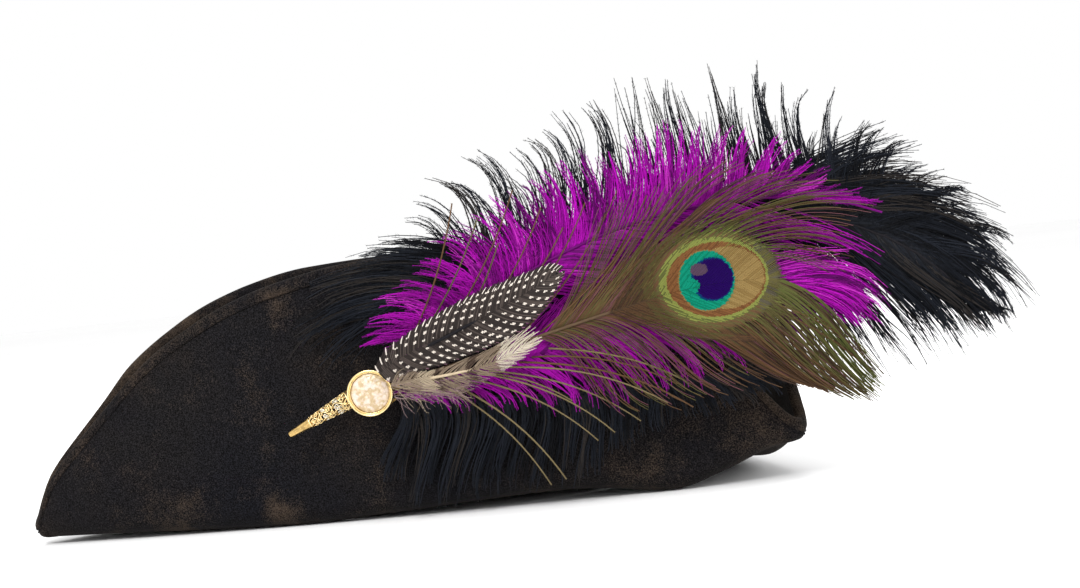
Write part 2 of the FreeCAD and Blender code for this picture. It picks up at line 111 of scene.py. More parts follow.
def ring_solid(name, rings, material):
    """Closed ring-shaped solid: rings of equal count, the last joined to the first."""
    ring = np.array(rings)
    faces = grid_faces(len(ring), ring.shape[1], wrap_rows=True, wrap_columns=True)
    return mesh_object(name, ring.reshape(-1, 3), faces, material)


def thin_cap(name, outer_rings, inner_rings, poles, material):
    """Closed thin cap: outer and inner rings joined at the rim, each face ending in a pole."""
    ring = np.array(outer_rings + inner_rings[::-1])
    columns, top = ring.shape[1], len(outer_rings) - 1
    verts = np.concatenate([ring.reshape(-1, 3), poles])
    grid = grid_faces(len(ring), columns, wrap_rows=True, wrap_columns=True)
    grid = grid[np.arange(len(grid)) // columns != top]
    faces = [grid, fan(top, len(verts) - 2, columns), fan(top + 1, len(verts) - 1, columns, flip=True)]
    return mesh_object(name, verts, faces, material)


def place(obj, body, slot, *nodes):
    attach(obj, body)
    if nodes:
        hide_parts(*nodes)
    return obj


def unit_rows(v):
    return v / np.maximum(np.linalg.norm(v, axis=-1, keepdims=True), 1e-9)


# ---------------------------------------------------------------- materials
class Nodes:
    """Short-hand for building one material's node tree."""

    def __init__(self, name, color, rough, **sockets):
        self.material = bpy.data.materials.new(name)
        self.material.use_nodes = True
        self.tree = self.material.node_tree
        self.shader = self.tree.nodes["Principled BSDF"]
        self.shader.inputs["Base Color"].default_value = (*color, 1)
        self.shader.inputs["Roughness"].default_value = rough
        for key, value in sockets.items():
            self.shader.inputs[key.replace("_", " ")].default_value = value
        self.where = self.add("ShaderNodeTexCoord").outputs["Object"]

    def add(self, kind, **inputs):
        node = self.tree.nodes.new(kind)
        for key, value in inputs.items():
            self.put(node, key.replace("_", " "), value)
        return node

    def put(self, node, key, value):
        if isinstance(value, bpy.types.NodeSocket):
            self.tree.links.new(value, node.inputs[key])
        else:
            node.inputs[key].default_value = value

    def noise(self, scale, detail=4.0, rough=0.6, where=None):
        node = self.add("ShaderNodeTexNoise", Scale=scale, Detail=detail, Roughness=rough)
        self.tree.links.new(where or self.where, node.inputs["Vector"])
        return node.outputs["Fac"]

    def ramp(self, value, *stops):
        node = self.add("ShaderNodeValToRGB", Fac=value)
        ramp = node.color_ramp
        while len(ramp.elements) < len(stops):
            ramp.elements.new(0.5)
        for element, (position, color) in zip(ramp.elements, stops):
            element.position = position
            element.color = (*color, 1) if isinstance(color, (tuple, list)) else (color,) * 3 + (1,)
        return node.outputs["Color"]

    def math(self, kind, a, b=0.0, c=0.0):
        node = self.tree.nodes.new("ShaderNodeMath")
        node.operation = kind
        for index, value in enumerate((a, b, c)):
            if isinstance(value, bpy.types.NodeSocket):
                self.tree.links.new(value, node.inputs[index])
            else:
                node.inputs[index].default_value = value
        return node.outputs[0]

    def mix(self, fac, a, b, kind="MIX"):
        node = self.tree.nodes.new("ShaderNodeMix")
        node.data_type = "RGBA"
        node.blend_type = kind
        for key, value in ((0, fac), (6, a), (7, b)):
            if isinstance(value, bpy.types.NodeSocket):
                self.tree.links.new(value, node.inputs[key])
            elif key:
                node.inputs[key].default_value = (*value, 1)
            else:
                node.inputs[key].default_value = value
        return node.outputs[2]

    def near(self, centre, size):
        """1 at a point of the hat, falling to 0 at a distance; millimetres."""
        node = self.tree.nodes.new("ShaderNodeVectorMath")
        node.operation = "DISTANCE"
        self.tree.links.new(self.where, node.inputs[0])
        node.inputs[1].default_value = [c * MM for c in centre]
        fall = self.math("DIVIDE", node.outputs["Value"], size * MM)
        return self.math("SUBTRACT", 1.0, self.math("MINIMUM", fall, 1.0))

    def color(self, value):
        self.put(self.shader, "Base Color", value)

    def mottle(self, low, high, *noise):
        """Two tones mixed by a noise."""
        self.color(self.ramp(self.noise(*noise), (0.3, low), (0.7, high)))

    def rough(self, value):
        self.put(self.shader, "Roughness", value)

    def bump(self, height, strength, distance, base=None):
        node = self.add("ShaderNodeBump", Height=height, Strength=strength, Distance=distance)
        if base is not None:
            self.tree.links.new(base, node.inputs["Normal"])
        self.tree.links.new(node.outputs["Normal"], self.shader.inputs["Normal"])
        return node.outputs["Normal"]


def scuffed_cloth(name, wear, spots):
    """Near-black brushed cloth with a fine nap, brown haze and tan rubbed patches."""
    n = Nodes(name, (0.02, 0.018, 0.018), 0.9, Sheen_Weight=0.03, Sheen_Roughness=0.5)
    n.shader.inputs["Sheen Tint"].default_value = (0.75, 0.65, 0.55, 1)
    n.shader.inputs["Specular IOR Level"].default_value = 0.06
    haze = n.noise(11.0, 5.0, 0.65)
    nap = n.noise(1700.0, 2.0, 0.6)
    grain = n.noise(2600.0, 2.0, 0.6)
    blotch = n.noise(38.0, 6.0, 0.7)
    base = n.ramp(
        haze,
        (0.30, (0.0038, 0.0040, 0.0056)),
        (0.55, (0.0060, 0.0054, 0.0058)),
        (0.78, (0.014, 0.0100, 0.0080)),
    )
    speck = n.ramp(nap, (0.40, 0.25), (0.64, 2.8))
    base = n.mix(1.0, base, speck, "MULTIPLY")
    reach = None
    for centre, size, amount in spots:
        here = n.math("MULTIPLY", n.near(centre, size), amount)
        reach = here if reach is None else n.math("MAXIMUM", reach, here)
    level = wear if reach is None else n.math("ADD", reach, wear)
    rub = n.math("ADD", blotch, level)
    rub = n.math("ADD", rub, n.math("MULTIPLY", nap, 0.75))
    mask = n.ramp(n.math("SUBTRACT", rub, 0.45), (0.58, 0.0), (1.08, 0.80))
    tone = n.ramp(grain, (0.3, (0.028, 0.020, 0.014)), (0.7, (0.130, 0.090, 0.060)))
    n.color(n.mix(mask, base, tone))
    first = n.bump(grain, 0.25, 0.0004)
    n.bump(nap, 0.22, 0.0008, first)
    return n.material


def plain(name, color, rough, **sockets):
    return Nodes(name, color, rough, **sockets).material


CLOTH_SPOTS = [
    ((-98, -66, 103), 13, 0.34),
    ((-150, -42, 6), 24, 0.24),
    ((-104, -66, 5), 17, 0.28),
    ((60, -114, 12), 40, 0.20),
    ((100, -122, 30), 40, 0.16),
    ((-170, 32, 84), 34, 0.25),
]
suede = scuffed_cloth("scuffed_black_cloth", 0.06, CLOTH_SPOTS)
edge_cloth = scuffed_cloth("scuffed_edge_cloth", 0.20, CLOTH_SPOTS)
thread = Nodes("black_thread", (0.005, 0.005, 0.006), 0.8)
thread.shader.inputs["Specular IOR Level"].default_value = 0.05
thread.mottle((0.002, 0.002, 0.003), (0.009, 0.008, 0.009), 1500.0)
thread_black = thread.material

# ---------------------------------------------------------------- hat: brim
OPENING = (105.5, 86.5)
OPENING_LEVEL = 9.0
TIP_REACH, BACK_REACH, BACK_SPAN = 217.0, 136.0, 132.0
CORNER = 12.0
THICK = 3.2
SIDE_BULGE, BACK_BULGE = 16.0, 8.0
SIDE_TOP = [
    (0.0, 7.6), (0.012, 9.5), (0.04, 27), (0.08, 43), (0.128, 60), (0.17, 75), (0.222, 88),
    (0.30, 102), (0.363, 109), (0.457, 115), (0.60, 117), (0.72, 106), (0.82, 82),
    (0.928, 46), (0.985, 23), (1.0, 21.5),
]
SIDE_FOLD = [
    (0.0, 3.0), (0.10, 2.5), (0.24, 1.0), (0.36, 0.0), (0.49, 2.0), (0.69, 5.0), (0.74, 4.0),
    (0.83, 0.0), (0.90, 7.0), (0.96, 15.0), (1.0, 17.0),
]
BACK_TOP = [(0.0, 21.5), (0.02, 24), (0.07, 41), (0.13, 54), (0.22, 73), (0.35, 91), (0.5, 99)]
BACK_FOLD = [(0.0, 17.0), (0.05, 15), (0.20, 6), (0.35, 3), (0.5, 2)]
TIP_CORE = np.array([-(TIP_REACH - CORNER), 0.0])
NEAR_CORE = np.array([BACK_REACH - CORNER, -(BACK_SPAN - CORNER)])
FAR_CORE = NEAR_CORE * [1, -1]
BISECTOR = math.atan2(NEAR_CORE[1], NEAR_CORE[0])


def core_side(start, end, bulge, t):
    d = end - start
    length = np.linalg.norm(d)
    e = d / length
    n = np.array([e[1], -e[0]])
    t = np.asarray(t, float)[:, None]
    point = start + d * t + n * (4 * bulge * t * (1 - t))
    tangent = unit_rows(e + n * (4 * bulge * (1 - 2 * t) / length))
    return point, np.stack([tangent[:, 1], -tangent[:, 0]], 1)


def fold_outline(start, end, bulge, first_angle, last_angle, steps, arc_steps=10):
    point, normal = core_side(start, end, bulge, np.linspace(0, 1, steps + 1))
    a, b = (math.atan2(v[1], v[0]) for v in (normal[0], normal[-1]))
    first_angle = a + (first_angle - a + math.pi) % (2 * math.pi) - math.pi
    last_angle = b + (last_angle - b + math.pi) % (2 * math.pi) - math.pi
    head = np.linspace(first_angle, a, arc_steps + 1)[:-1]
    tail = np.linspace(b, last_angle, arc_steps + 1)[1:]
    head = np.stack([np.cos(head), np.sin(head)], 1)
    tail = np.stack([np.cos(tail), np.sin(tail)], 1)
    folds = np.concatenate([start + CORNER * head, point + CORNER * normal, end + CORNER * tail])
    normals = np.concatenate([head, normal, tail])
    run = np.concatenate([[0], np.cumsum(np.linalg.norm(np.diff(folds, axis=0), axis=1))])
    return folds, normals, run / run[-1]


side = fold_outline(TIP_CORE, NEAR_CORE, SIDE_BULGE, math.pi, BISECTOR, 130)
back = fold_outline(NEAR_CORE, FAR_CORE, BACK_BULGE, BISECTOR, -BISECTOR, 90)
side_low, side_high = smooth_value(SIDE_FOLD, side[2]), smooth_value(SIDE_TOP, side[2])
half = np.minimum(back[2], 1 - back[2])
back_low, back_high = smooth_value(BACK_FOLD, half), smooth_value(BACK_TOP, half)
FOLD = np.concatenate([side[0], back[0][1:], (side[0] * [1, -1])[::-1][1:-1]])
NORMAL = np.concatenate([side[1], back[1][1:], (side[1] * [1, -1])[::-1][1:-1]])
LOW = np.concatenate([side_low, back_low[1:], side_low[::-1][1:-1]])
HIGH = np.concatenate([side_high, back_high[1:], side_high[::-1][1:-1]])
COLUMNS = len(FOLD)
run = np.linalg.norm(np.roll(FOLD, -1, 0) - FOLD, axis=1)
AROUND = np.concatenate([[0], np.cumsum(run)[:-1]]) / run.sum() * 2 * math.pi


def ripple(around, up):
    """Gentle unevenness of the cloth, in millimetres."""
    return (
        0.9 * np.sin(5 * around + 0.8 + 0.02 * up)
        + 0.7 * np.sin(11 * around + 2.1 - 0.03 * up)
        + 0.5 * np.sin(17 * around - 0.05 * up + 4.0)
        + 0.35 * np.sin(29 * around + 0.08 * up + 1.3)
    )


def brim_rows():
    """Rows of the brim's outer and inner faces, from the head opening to the top edge."""
    height = HIGH - LOW
    bend = np.minimum(10.0, 0.85 * height)
    inner_bend = np.maximum(bend - THICK, 0.3)
    wall = height - bend
    seam = FOLD / np.hypot(FOLD[:, 0] / OPENING[0], FOLD[:, 1] / OPENING[1])[:, None]
    foot = FOLD - NORMAL * bend[:, None]
    outer, inner = [], []

    def row(target, plan, z):
        target.append(np.column_stack([plan, z]))

    for share in np.linspace(0, 1, 11)[:-1]:
        plan = seam + (foot - seam) * share
        ease = share * share * (3 - 2 * share)
        z = OPENING_LEVEL + (LOW - OPENING_LEVEL) * ease
        row(outer, plan, z)
        row(inner, plan, z + THICK)
    for angle in np.radians(np.linspace(-90, 0, 10)):
        c, s = math.cos(angle), math.sin(angle)
        row(outer, foot + NORMAL * (bend * c)[:, None], LOW + bend + bend * s)
        row(inner, foot + NORMAL * (inner_bend * c)[:, None], LOW + THICK + inner_bend * (1 + s))
    fullness = np.minimum(1.0, wall / 60)
    for share in np.linspace(0, 1, 34)[1:]:
        out = (2.0 * 4 * share * (1 - share) - 4.0 * share * share) * fullness
        up = wall * share
        out = out + ripple(AROUND, up) * fullness * min(1.0, share * 3) * 0.8
        z = LOW + bend + up
        row(outer, FOLD + NORMAL * out[:, None], z)
        row(inner, FOLD + NORMAL * (out - THICK)[:, None], z)
    return np.array(outer), np.array(inner)


outer, inner = brim_rows()
rows = len(outer)
verts = np.concatenate([outer.reshape(-1, 3), inner.reshape(-1, 3)])
count = rows * COLUMNS
faces = [
    grid_faces(rows, COLUMNS, wrap_columns=True),
    grid_faces(rows, COLUMNS, count, wrap_columns=True, flip=True),
]
j = np.arange(COLUMNS)
k = (j + 1) % COLUMNS
top = (rows - 1) * COLUMNS
faces.append(np.stack([top + j, top + k, top + count + k, top + count + j], 1))
faces.append(np.stack([k, j, count + j, count + k], 1))
brim = mesh_object("brim_cloth", verts, faces, suede)
place(brim, "hat", "black_cloth", "left_brim_flap", "right_brim_flap", "back_brim_flap")

# Rolled edge binding and the stitches that hold it.
edge = (outer[-1] + inner[-1]) / 2
TALL, HALF = 5.6, 2.6
out3 = np.column_stack([NORMAL, np.zeros(COLUMNS)])
profile = []
for angle in np.linspace(0, math.pi, 17):
    profile.append((HALF * math.cos(angle), TALL * math.sin(angle) ** 0.7 if 0 < angle < 3.14 else 0.0))
profile += [(-HALF * 0.86, -0.7), (0.0, -0.9), (HALF * 0.86, -0.7)]
roll = []
for index, (across, up) in enumerate(profile):
    puff = 1 + 0.05 * np.sin(23 * AROUND + index) + 0.03 * np.sin(61 * AROUND + 2 * index)
    lift = np.array([0, 0, 1.0]) * (up * (0.97 + 0.03 * puff))[:, None]
    roll.append(edge + out3 * (across * puff)[:, None] + lift)
binding = ring_solid("edge_binding", roll, edge_cloth)
place(binding, "hat", "binding_cloth", "left_edge_binding", "right_edge_binding", "back_edge_binding")


def resample(points, spacing, closed=False):
    points = np.asarray(points, float)
    if closed:
        points = np.concatenate([points, points[:1]])
    run = np.concatenate([[0], np.cumsum(np.linalg.norm(np.diff(points, axis=0), axis=1))])
    count = max(2, int(round(run[-1] / spacing)) + 1)
    at = np.linspace(0, run[-1], count)
    return np.stack([np.interp(at, run, points[:, a]) for a in range(3)], 1)


def fibre_arrays(lines, radii, sides=3, flat=1.0, hint=(0.0, 1.0, 0.0)):
    """Closed tapered rods along many lines at once: lines (k, n, 3), radii (k, n).

    Gives vertices, quads and end triangles. Each rod's rings have the given number of
    sides, and a flat cap closes each end.
    """
    lines = np.asarray(lines, float)
    k, n, _ = lines.shape
    tangent = unit_rows(np.gradient(lines, axis=1))
    first = unit_rows(np.cross(tangent, np.broadcast_to(np.asarray(hint, float), tangent.shape)))
    second = np.cross(tangent, first)
    angle = np.arange(sides) * 2 * math.pi / sides + math.pi / 2
    ring = (
        first[:, :, None, :] * np.cos(angle)[None, None, :, None]
        + second[:, :, None, :] * (np.sin(angle) * flat)[None, None, :, None]
    )
    verts = (lines[:, :, None, :] + ring * radii[:, :, None, None]).reshape(-1, 3)
    base = (np.arange(k) * n * sides)[:, None, None]
    i = np.arange(n - 1)[None, :, None] * sides
    s = np.arange(sides)[None, None, :]
    t = (s + 1) % sides
    a, b = base + i + s, base + i + t
    c, d = b + sides, a + sides
    quads = np.stack([a, b, c, d], -1).reshape(-1, 4)
    if sides == 3:
        start = (base[:, 0] + np.array([[2, 1, 0]])).reshape(-1, 3)
        end = (base[:, 0] + (n - 1) * 3 + np.array([[0, 1, 2]])).reshape(-1, 3)
    else:
        fan = [(0, q + 1, q) for q in range(1, sides - 1)]
        start = (base[:, 0][:, None] + np.array(fan)[None]).reshape(-1, 3)
        far = [(0, q, q + 1) for q in range(1, sides - 1)]
        end = (base[:, 0][:, None] + (n - 1) * sides + np.array(far)[None]).reshape(-1, 3)
    return verts, quads, np.concatenate([start, end])


def stitch_mesh(name, line, length, gap, radius, material):
    """Short thread stitches laid along a closed line."""
    path = resample(line, 0.4, closed=True)
    step = max(2, int(round(length / 0.4)))
    hop = max(1, int(round(gap / 0.4)))
    starts = np.arange(0, len(path) - step, step + hop)
    picks = starts[:, None] + np.linspace(0, step, 5).round().astype(int)[None]
    lines = path[picks]
    radii = np.tile(np.array([0.45, 0.9, 1.0, 0.9, 0.45]) * radius, (len(lines), 1))
    verts, quads, tris = fibre_arrays(lines, radii, sides=5, hint=(0, 0, 1))
    return mesh_object(name, verts, [quads, tris], material)


seam_outer = outer[-1] + out3 * 0.15 - np.array([0, 0, 2.2])
seam_inner = inner[-1] - out3 * 0.15 - np.array([0, 0, 2.2])
stitches = stitch_mesh("binding_stitches_outside", seam_outer, 2.6, 1.2, 0.28, thread_black)
place(stitches, "hat", "binding_cloth")
stitches = stitch_mesh("binding_stitches_inside", seam_inner, 2.6, 1.2, 0.28, thread_black)
place(stitches, "hat", "binding_cloth")

# ---------------------------------------------------------------- hat: crown
WALL_TOP, TAPER, DOME = 92.0, 0.9, 18.0


def oval_points(inset, level_scale, level, angles, wobble=0.0):
    a = (OPENING[0] - inset) * level_scale + wobble
    b = (OPENING[1] - inset) * level_scale + wobble
    return np.column_stack([a * np.cos(angles), b * np.sin(angles), np.broadcast_to(level, angles.shape)])


def oval_shell(name, levels, inset, thickness, material, wobble):
    """Oval wall with an outer and an inner face, closed at both rims."""
    angles = np.linspace(0, 2 * math.pi, 181)[:-1]
    rings_in, rings_out = [], []
    for z in levels:
        scale = 1 + (TAPER - 1) * z / WALL_TOP
        move = wobble(angles, z)
        rings_out.append(oval_points(inset, scale, z, angles, move))
        rings_in.append(oval_points(inset + thickness, scale, z, angles, move))
    return ring_solid(name, rings_out + rings_in[::-1], material)


crown_side = oval_shell(
    "crown_side_cloth", np.linspace(OPENING_LEVEL, WALL_TOP + 1.0, 26), 0.0, 2.5, suede,
    lambda a, z: -0.25 + 0.2 * np.sin(7 * a + z * 0.05) + 0.12 * np.sin(19 * a - z * 0.1),
)
place(crown_side, "hat", "black_cloth", "crown_side_band")


def cap_shell(name, inset, thickness, height, level, material, drop):
    angles = np.linspace(0, 2 * math.pi, 181)[:-1]
    rings_out, rings_in = [], []
    for phi in np.linspace(0, math.pi / 2, 22)[:-1]:
        for rings, more in ((rings_out, 0.0), (rings_in, thickness)):
            a = ((OPENING[0] - inset) * TAPER - more) * math.cos(phi)
            b = ((OPENING[1] - inset) * TAPER - more) * math.cos(phi)
            dent = drop * (np.sin(2 * angles + 0.6) * 0.8 + np.sin(3 * angles))
            dent = dent * math.sin(phi) * math.cos(phi)
            z = level + (height - more) * math.sin(phi) - np.abs(dent)
            rings.append(np.column_stack([a * np.cos(angles), b * np.sin(angles), z]))
    poles = np.array([[0, 0, level + height], [0, 0, level + height - thickness]])
    return thin_cap(name, rings_out, rings_in, poles, material)


crown_top = cap_shell("crown_tip_cloth", 0.0, 2.5, DOME, WALL_TOP, suede, 0.8)
place(crown_top, "hat", "black_cloth", "crown_tip")

angles = np.linspace(0, 2 * math.pi, 721)[:-1]
crown_seam = oval_points(-0.35, TAPER, WALL_TOP - 1.6, angles)
crown_stitch = stitch_mesh("crown_seam_stitches", crown_seam, 2.6, 1.4, 0.28, thread_black)
place(crown_stitch, "hat", "black_cloth")

# ---------------------------------------------------------------- spray: frame and fibres
SPRAY_ALONG, SPRAY_OUT, SPRAY_LEVEL = -25.6, 98.9, 60.5
SPRAY_TURN = math.radians(-20.04)
ALONG = np.array([math.cos(SPRAY_TURN), math.sin(SPRAY_TURN), 0.0])
OUT = np.array([math.sin(SPRAY_TURN), -math.cos(SPRAY_TURN), 0.0])
UP = np.array([0.0, 0.0, 1.0])
FRAME = np.array([ALONG, OUT, UP])
ORIGIN = ALONG * SPRAY_ALONG + OUT * SPRAY_OUT + UP * SPRAY_LEVEL
QUILL_SAMPLES = 300
rng = np.random.default_rng(11)


def in_hat(p):
    """Points of the spray (along, out from the hat, up) in the hat's own frame."""
    return ORIGIN + np.asarray(p, float) @ FRAME


def spline(points, samples):
    """Positions and unit tangents along a smooth curve through points."""
    p = np.asarray(points, float)
    knots = np.concatenate([[0], np.cumsum(np.linalg.norm(np.diff(p, axis=0), axis=1))])
    n = len(p)
    h = np.diff(knots)
    left, right_side = np.eye(n), np.zeros_like(p)
    for i in range(1, n - 1):
        left[i, i - 1], left[i, i], left[i, i + 1] = h[i - 1], 2 * (h[i - 1] + h[i]), h[i]
        right_side[i] = 6 * ((p[i + 1] - p[i]) / h[i] - (p[i] - p[i - 1]) / h[i - 1])
    m = np.linalg.solve(left, right_side)
    at = np.linspace(0, knots[-1], samples)
    i = np.clip(np.searchsorted(knots, at, side="right") - 1, 0, n - 2)
    a = ((knots[i + 1] - at) / h[i])[:, None]
    b = 1 - a
    k = (h[i] ** 2)[:, None] / 6
    place_at = a * p[i] + b * p[i + 1] + ((a**3 - a) * m[i] + (b**3 - b) * m[i + 1]) * k
    return place_at, unit_rows(np.gradient(place_at, axis=0))


class Quill:
    """Line of a quill: (along, up) points in a layer, rising there from its place in the bundle."""

    def __init__(self, points, bundle, layer):
        lift = smooth_value([(12, 0.0), (31, 1.0)], [p[0] for p in points])
        path = [(x, bundle + (layer - bundle) * s, z) for (x, z), s in zip(points, lift)]
        self.places, self.ways = spline(path, QUILL_SAMPLES)

    def at(self, share):
        i = np.clip(np.asarray(share, float), 0, 1) * (QUILL_SAMPLES - 1)
        low = np.minimum(i.astype(int), QUILL_SAMPLES - 2)
        part = (i - low)[..., None]
        place_at = self.places[low] * (1 - part) + self.places[low + 1] * part
        return place_at, unit_rows(self.ways[low] * (1 - part) + self.ways[low + 1] * part)


def sweep(root, start, tip, finish, steps, cut=1.0, reach=(0.36, 0.36)):
    """Smooth lines from roots to tips, leaving along start and arriving along finish."""
    length = np.linalg.norm(tip - root, axis=1, keepdims=True)
    a = root + start * length * reach[0]
    b = tip - finish * length * reach[1]
    t = np.linspace(0, 1, steps)[None, :, None] * np.reshape(cut, (-1, 1, 1))
    root, a, b, tip = (v[:, None] for v in (root, a, b, tip))
    return (1 - t) ** 3 * root + 3 * (1 - t) ** 2 * t * a + 3 * (1 - t) * t * t * b + t**3 * tip


def heading(degrees, out=0.0):
    r = np.radians(degrees)
    v = np.stack([np.cos(r), np.broadcast_to(out, r.shape), np.sin(r)], -1)
    return unit_rows(v)


class Fibres:
    """Collects strands and hair-fine side fibres, and turns them into one closed mesh."""

    def __init__(self):
        self.verts, self.quads, self.tris = [], [], []
        self.quad_slots, self.tri_slots, self.total = [], [], 0

    def strands(self, lines, radii, slots, sides=3, flat=1.0):
        """Lines in the spray's frame; slots one per strand or one per strand and step."""
        k, n, _ = lines.shape
        verts, quads, tris = fibre_arrays(in_hat(lines), radii, sides, flat, -OUT)
        slots = np.asarray(slots)
        if slots.ndim == 1:
            slots = np.repeat(slots[:, None], n - 1, 1)
        self.verts.append(verts)
        self.quads.append(quads + self.total)
        self.tris.append(tris + self.total)
        self.quad_slots.append(np.repeat(slots.ravel(), sides))
        for end in (0, -1):
            self.tri_slots.append(np.repeat(slots[:, end], sides - 2))
        self.total += len(verts)

    def hairs(self, root, way, length, radius, slots):
        """Straight hairs, each a thin closed spike."""
        root, way = in_hat(root), way @ FRAME
        first = unit_rows(np.cross(way, OUT) + 1e-6)
        second = np.cross(way, first)
        ring = []
        for third in range(3):
            angle = math.pi / 2 + third * 2 * math.pi / 3
            spoke = first * math.cos(angle) + second * math.sin(angle)
            ring.append(root + spoke * np.reshape(radius, (-1, 1)))
        ring.append(root + way * np.reshape(length, (-1, 1)))
        verts = np.stack(ring, 1).reshape(-1, 3)
        base = np.arange(len(root))[:, None] * 4 + self.total
        tris = np.concatenate([base + t for t in ([[0, 1, 3]], [[1, 2, 3]], [[2, 0, 3]], [[2, 1, 0]])])
        self.verts.append(verts)
        self.tris.append(tris)
        self.tri_slots.append(np.tile(slots, 4))
        self.total += len(verts)

    def fringe(self, lines, slots, per, length, lean=35.0, radius=0.09, first=0.12, taper=0.7, wild=10.0):
        """Side fibres on both sides of every strand, leaning towards its tip."""
        k, n, _ = lines.shape
        t = first + (1 - first) * (np.arange(per) + rng.uniform(0, 1, (k, per))) / per
        i = np.clip(t, 0, 0.9999) * (n - 1)
        low = i.astype(int)
        part = (i - low)[..., None]
        rows = np.arange(k)[:, None]
        root = lines[rows, low] * (1 - part) + lines[rows, low + 1] * part
        way = unit_rows(lines[rows, low + 1] - lines[rows, low])
        slots = np.asarray(slots)
        if slots.ndim == 2:
            slots = slots[rows, low]
        else:
            slots = np.repeat(slots[:, None], per, 1)
        for side in (-1, 1):
            angle = np.radians(lean + rng.normal(0, wild, (k, per))) * side
            c, s = np.cos(angle)[..., None], np.sin(angle)[..., None]
            turned = np.stack([way[..., 0], np.zeros((k, per)), way[..., 2]], -1) * c
            turned += np.stack([-way[..., 2], np.zeros((k, per)), way[..., 0]], -1) * s
            turned[..., 1] += way[..., 1] * c[..., 0] + rng.normal(0, 0.22, (k, per))
            size = length * (1 - taper * t) * rng.uniform(0.6, 1.15, (k, per))
            self.hairs(
                root.reshape(-1, 3), unit_rows(turned).reshape(-1, 3), size.ravel(),
                np.full(k * per, radius) * (1 - 0.4 * t.ravel()), slots.ravel(),
            )

    def build(self, name, materials):
        faces = [np.concatenate(self.quads), np.concatenate(self.tris)]
        slots = np.concatenate(self.quad_slots + self.tri_slots)
        return mesh_object(name, np.concatenate(self.verts), faces, materials, slots)


def guide_line(guides, turns, share):
    """Tip place (along, up) and heading at shares of the way round a row of guide tips."""
    g = np.array(guides, float)
    run = np.concatenate([[0], np.cumsum(np.hypot(*np.diff(g[:, 1:], axis=0).T))])
    at = np.asarray(share) * run[-1]
    s, x, z = (np.interp(at, run, g[:, c]) for c in range(3))
    turn = np.interp(s, [t[0] for t in turns], [t[1] for t in turns])
    return s, x, z, turn


def plume(fibres, quill, guides, turns, clumps, per, depths, tones, side=1, steps=9, spread=1.5,
          window=0.02, cut=(0.76, 1.0), radius=(0.52, 0.13), fluff=(18, 4.2), open_turn=55.0,
          root=lambda s: s, jitter=8.0, lean=30.0, reach=(0.34, 0.36), scale=(0.93, 1.0), tip_out=0.0,
          flat=0.45, hair=0.14):
    """Clumps of long barbs from a quill to a row of guide tips, each barb with fine side fibres."""
    share = (np.arange(clumps) + rng.uniform(0.15, 0.85, clumps)) / clumps
    s, x, z, turn = guide_line(guides, turns, share)
    turn = turn + rng.normal(0, jitter, clumps)
    depth = rng.uniform(*depths, clumps)
    far = rng.uniform(*scale, clumps) * (1.0 - 0.10 * rng.uniform(size=clumps) ** 3)
    prongs = rng.normal(0, spread, (clumps, 3, 2))
    tone = rng.choice(len(tones), clumps, p=np.array(tones) / sum(tones))
    c = np.repeat(np.arange(clumps), per)
    k = len(c)
    where = np.clip(root(s[c]) + rng.uniform(-window, window, k), 0.0, 1.0)
    start_at, way = quill.at(where)
    prong = prongs[c, rng.integers(0, 3, k)]
    tip = np.stack([x[c] + prong[:, 0], depth[c] + tip_out + rng.normal(0, 0.4, k), z[c] + prong[:, 1]], -1)
    tip[:, [0, 2]] = start_at[:, [0, 2]] + (tip[:, [0, 2]] - start_at[:, [0, 2]]) * far[c][:, None]
    tip += rng.normal(0, 0.3, (k, 3)) * [1, 0.5, 1]
    opening = open_turn(s[c]) if callable(open_turn) else open_turn
    angle = np.degrees(np.arctan2(way[:, 2], way[:, 0])) + side * (opening + rng.normal(0, 7, k))
    lines = sweep(
        start_at, heading(angle), tip, heading(turn[c] + rng.normal(0, 4, k)), steps,
        rng.uniform(*cut, k), reach,
    )
    sway = np.sin(np.linspace(0, 1, steps)[None] * rng.uniform(5, 9, (k, 1)) + rng.uniform(0, 6, (k, 1)))
    rise = np.linspace(0, 1, steps)[None] ** 1.2
    lines[..., 0] += sway * rise * 0.45
    lines[..., 2] += sway[:, ::-1] * rise * 0.45
    lines[..., 1] = np.maximum(lines[..., 1], min(depths[0], quill.places[:, 1].min()) - 0.5)
    keeps = rng.uniform(size=k) < 0.7
    tones_here = np.where(keeps, tone[c], rng.choice(len(tones), k, p=np.array(tones) / sum(tones)))
    thick = radius[0] + (radius[1] - radius[0]) * np.linspace(0, 1, steps) ** 0.8
    radii = thick[None] * rng.uniform(0.8, 1.2, (k, 1))
    fibres.strands(lines, radii, tones_here, flat=flat)
    if fluff[0]:
        fibres.fringe(lines, tones_here, fluff[0], fluff[1], lean, radius=hair)
    return lines


def underlay(fibres, quill, guides, turns, count, depths, tone, side=1, radius=1.7,
             scale=(0.45, 0.75), **more):
    """Broad soft barbs that close the plume between its locks."""
    plume(fibres, quill, guides, turns, count, 1, depths, tone, side=side, radius=(radius, 0.1), scale=scale,
          fluff=(8, 4.5), flat=0.22, cut=(0.96, 1.0), spread=0.8, **more)


def fibre_material(name, color, rough=0.6, shine=0.12, **more):
    return plain(name, color, rough, Specular_IOR_Level=shine, **more)


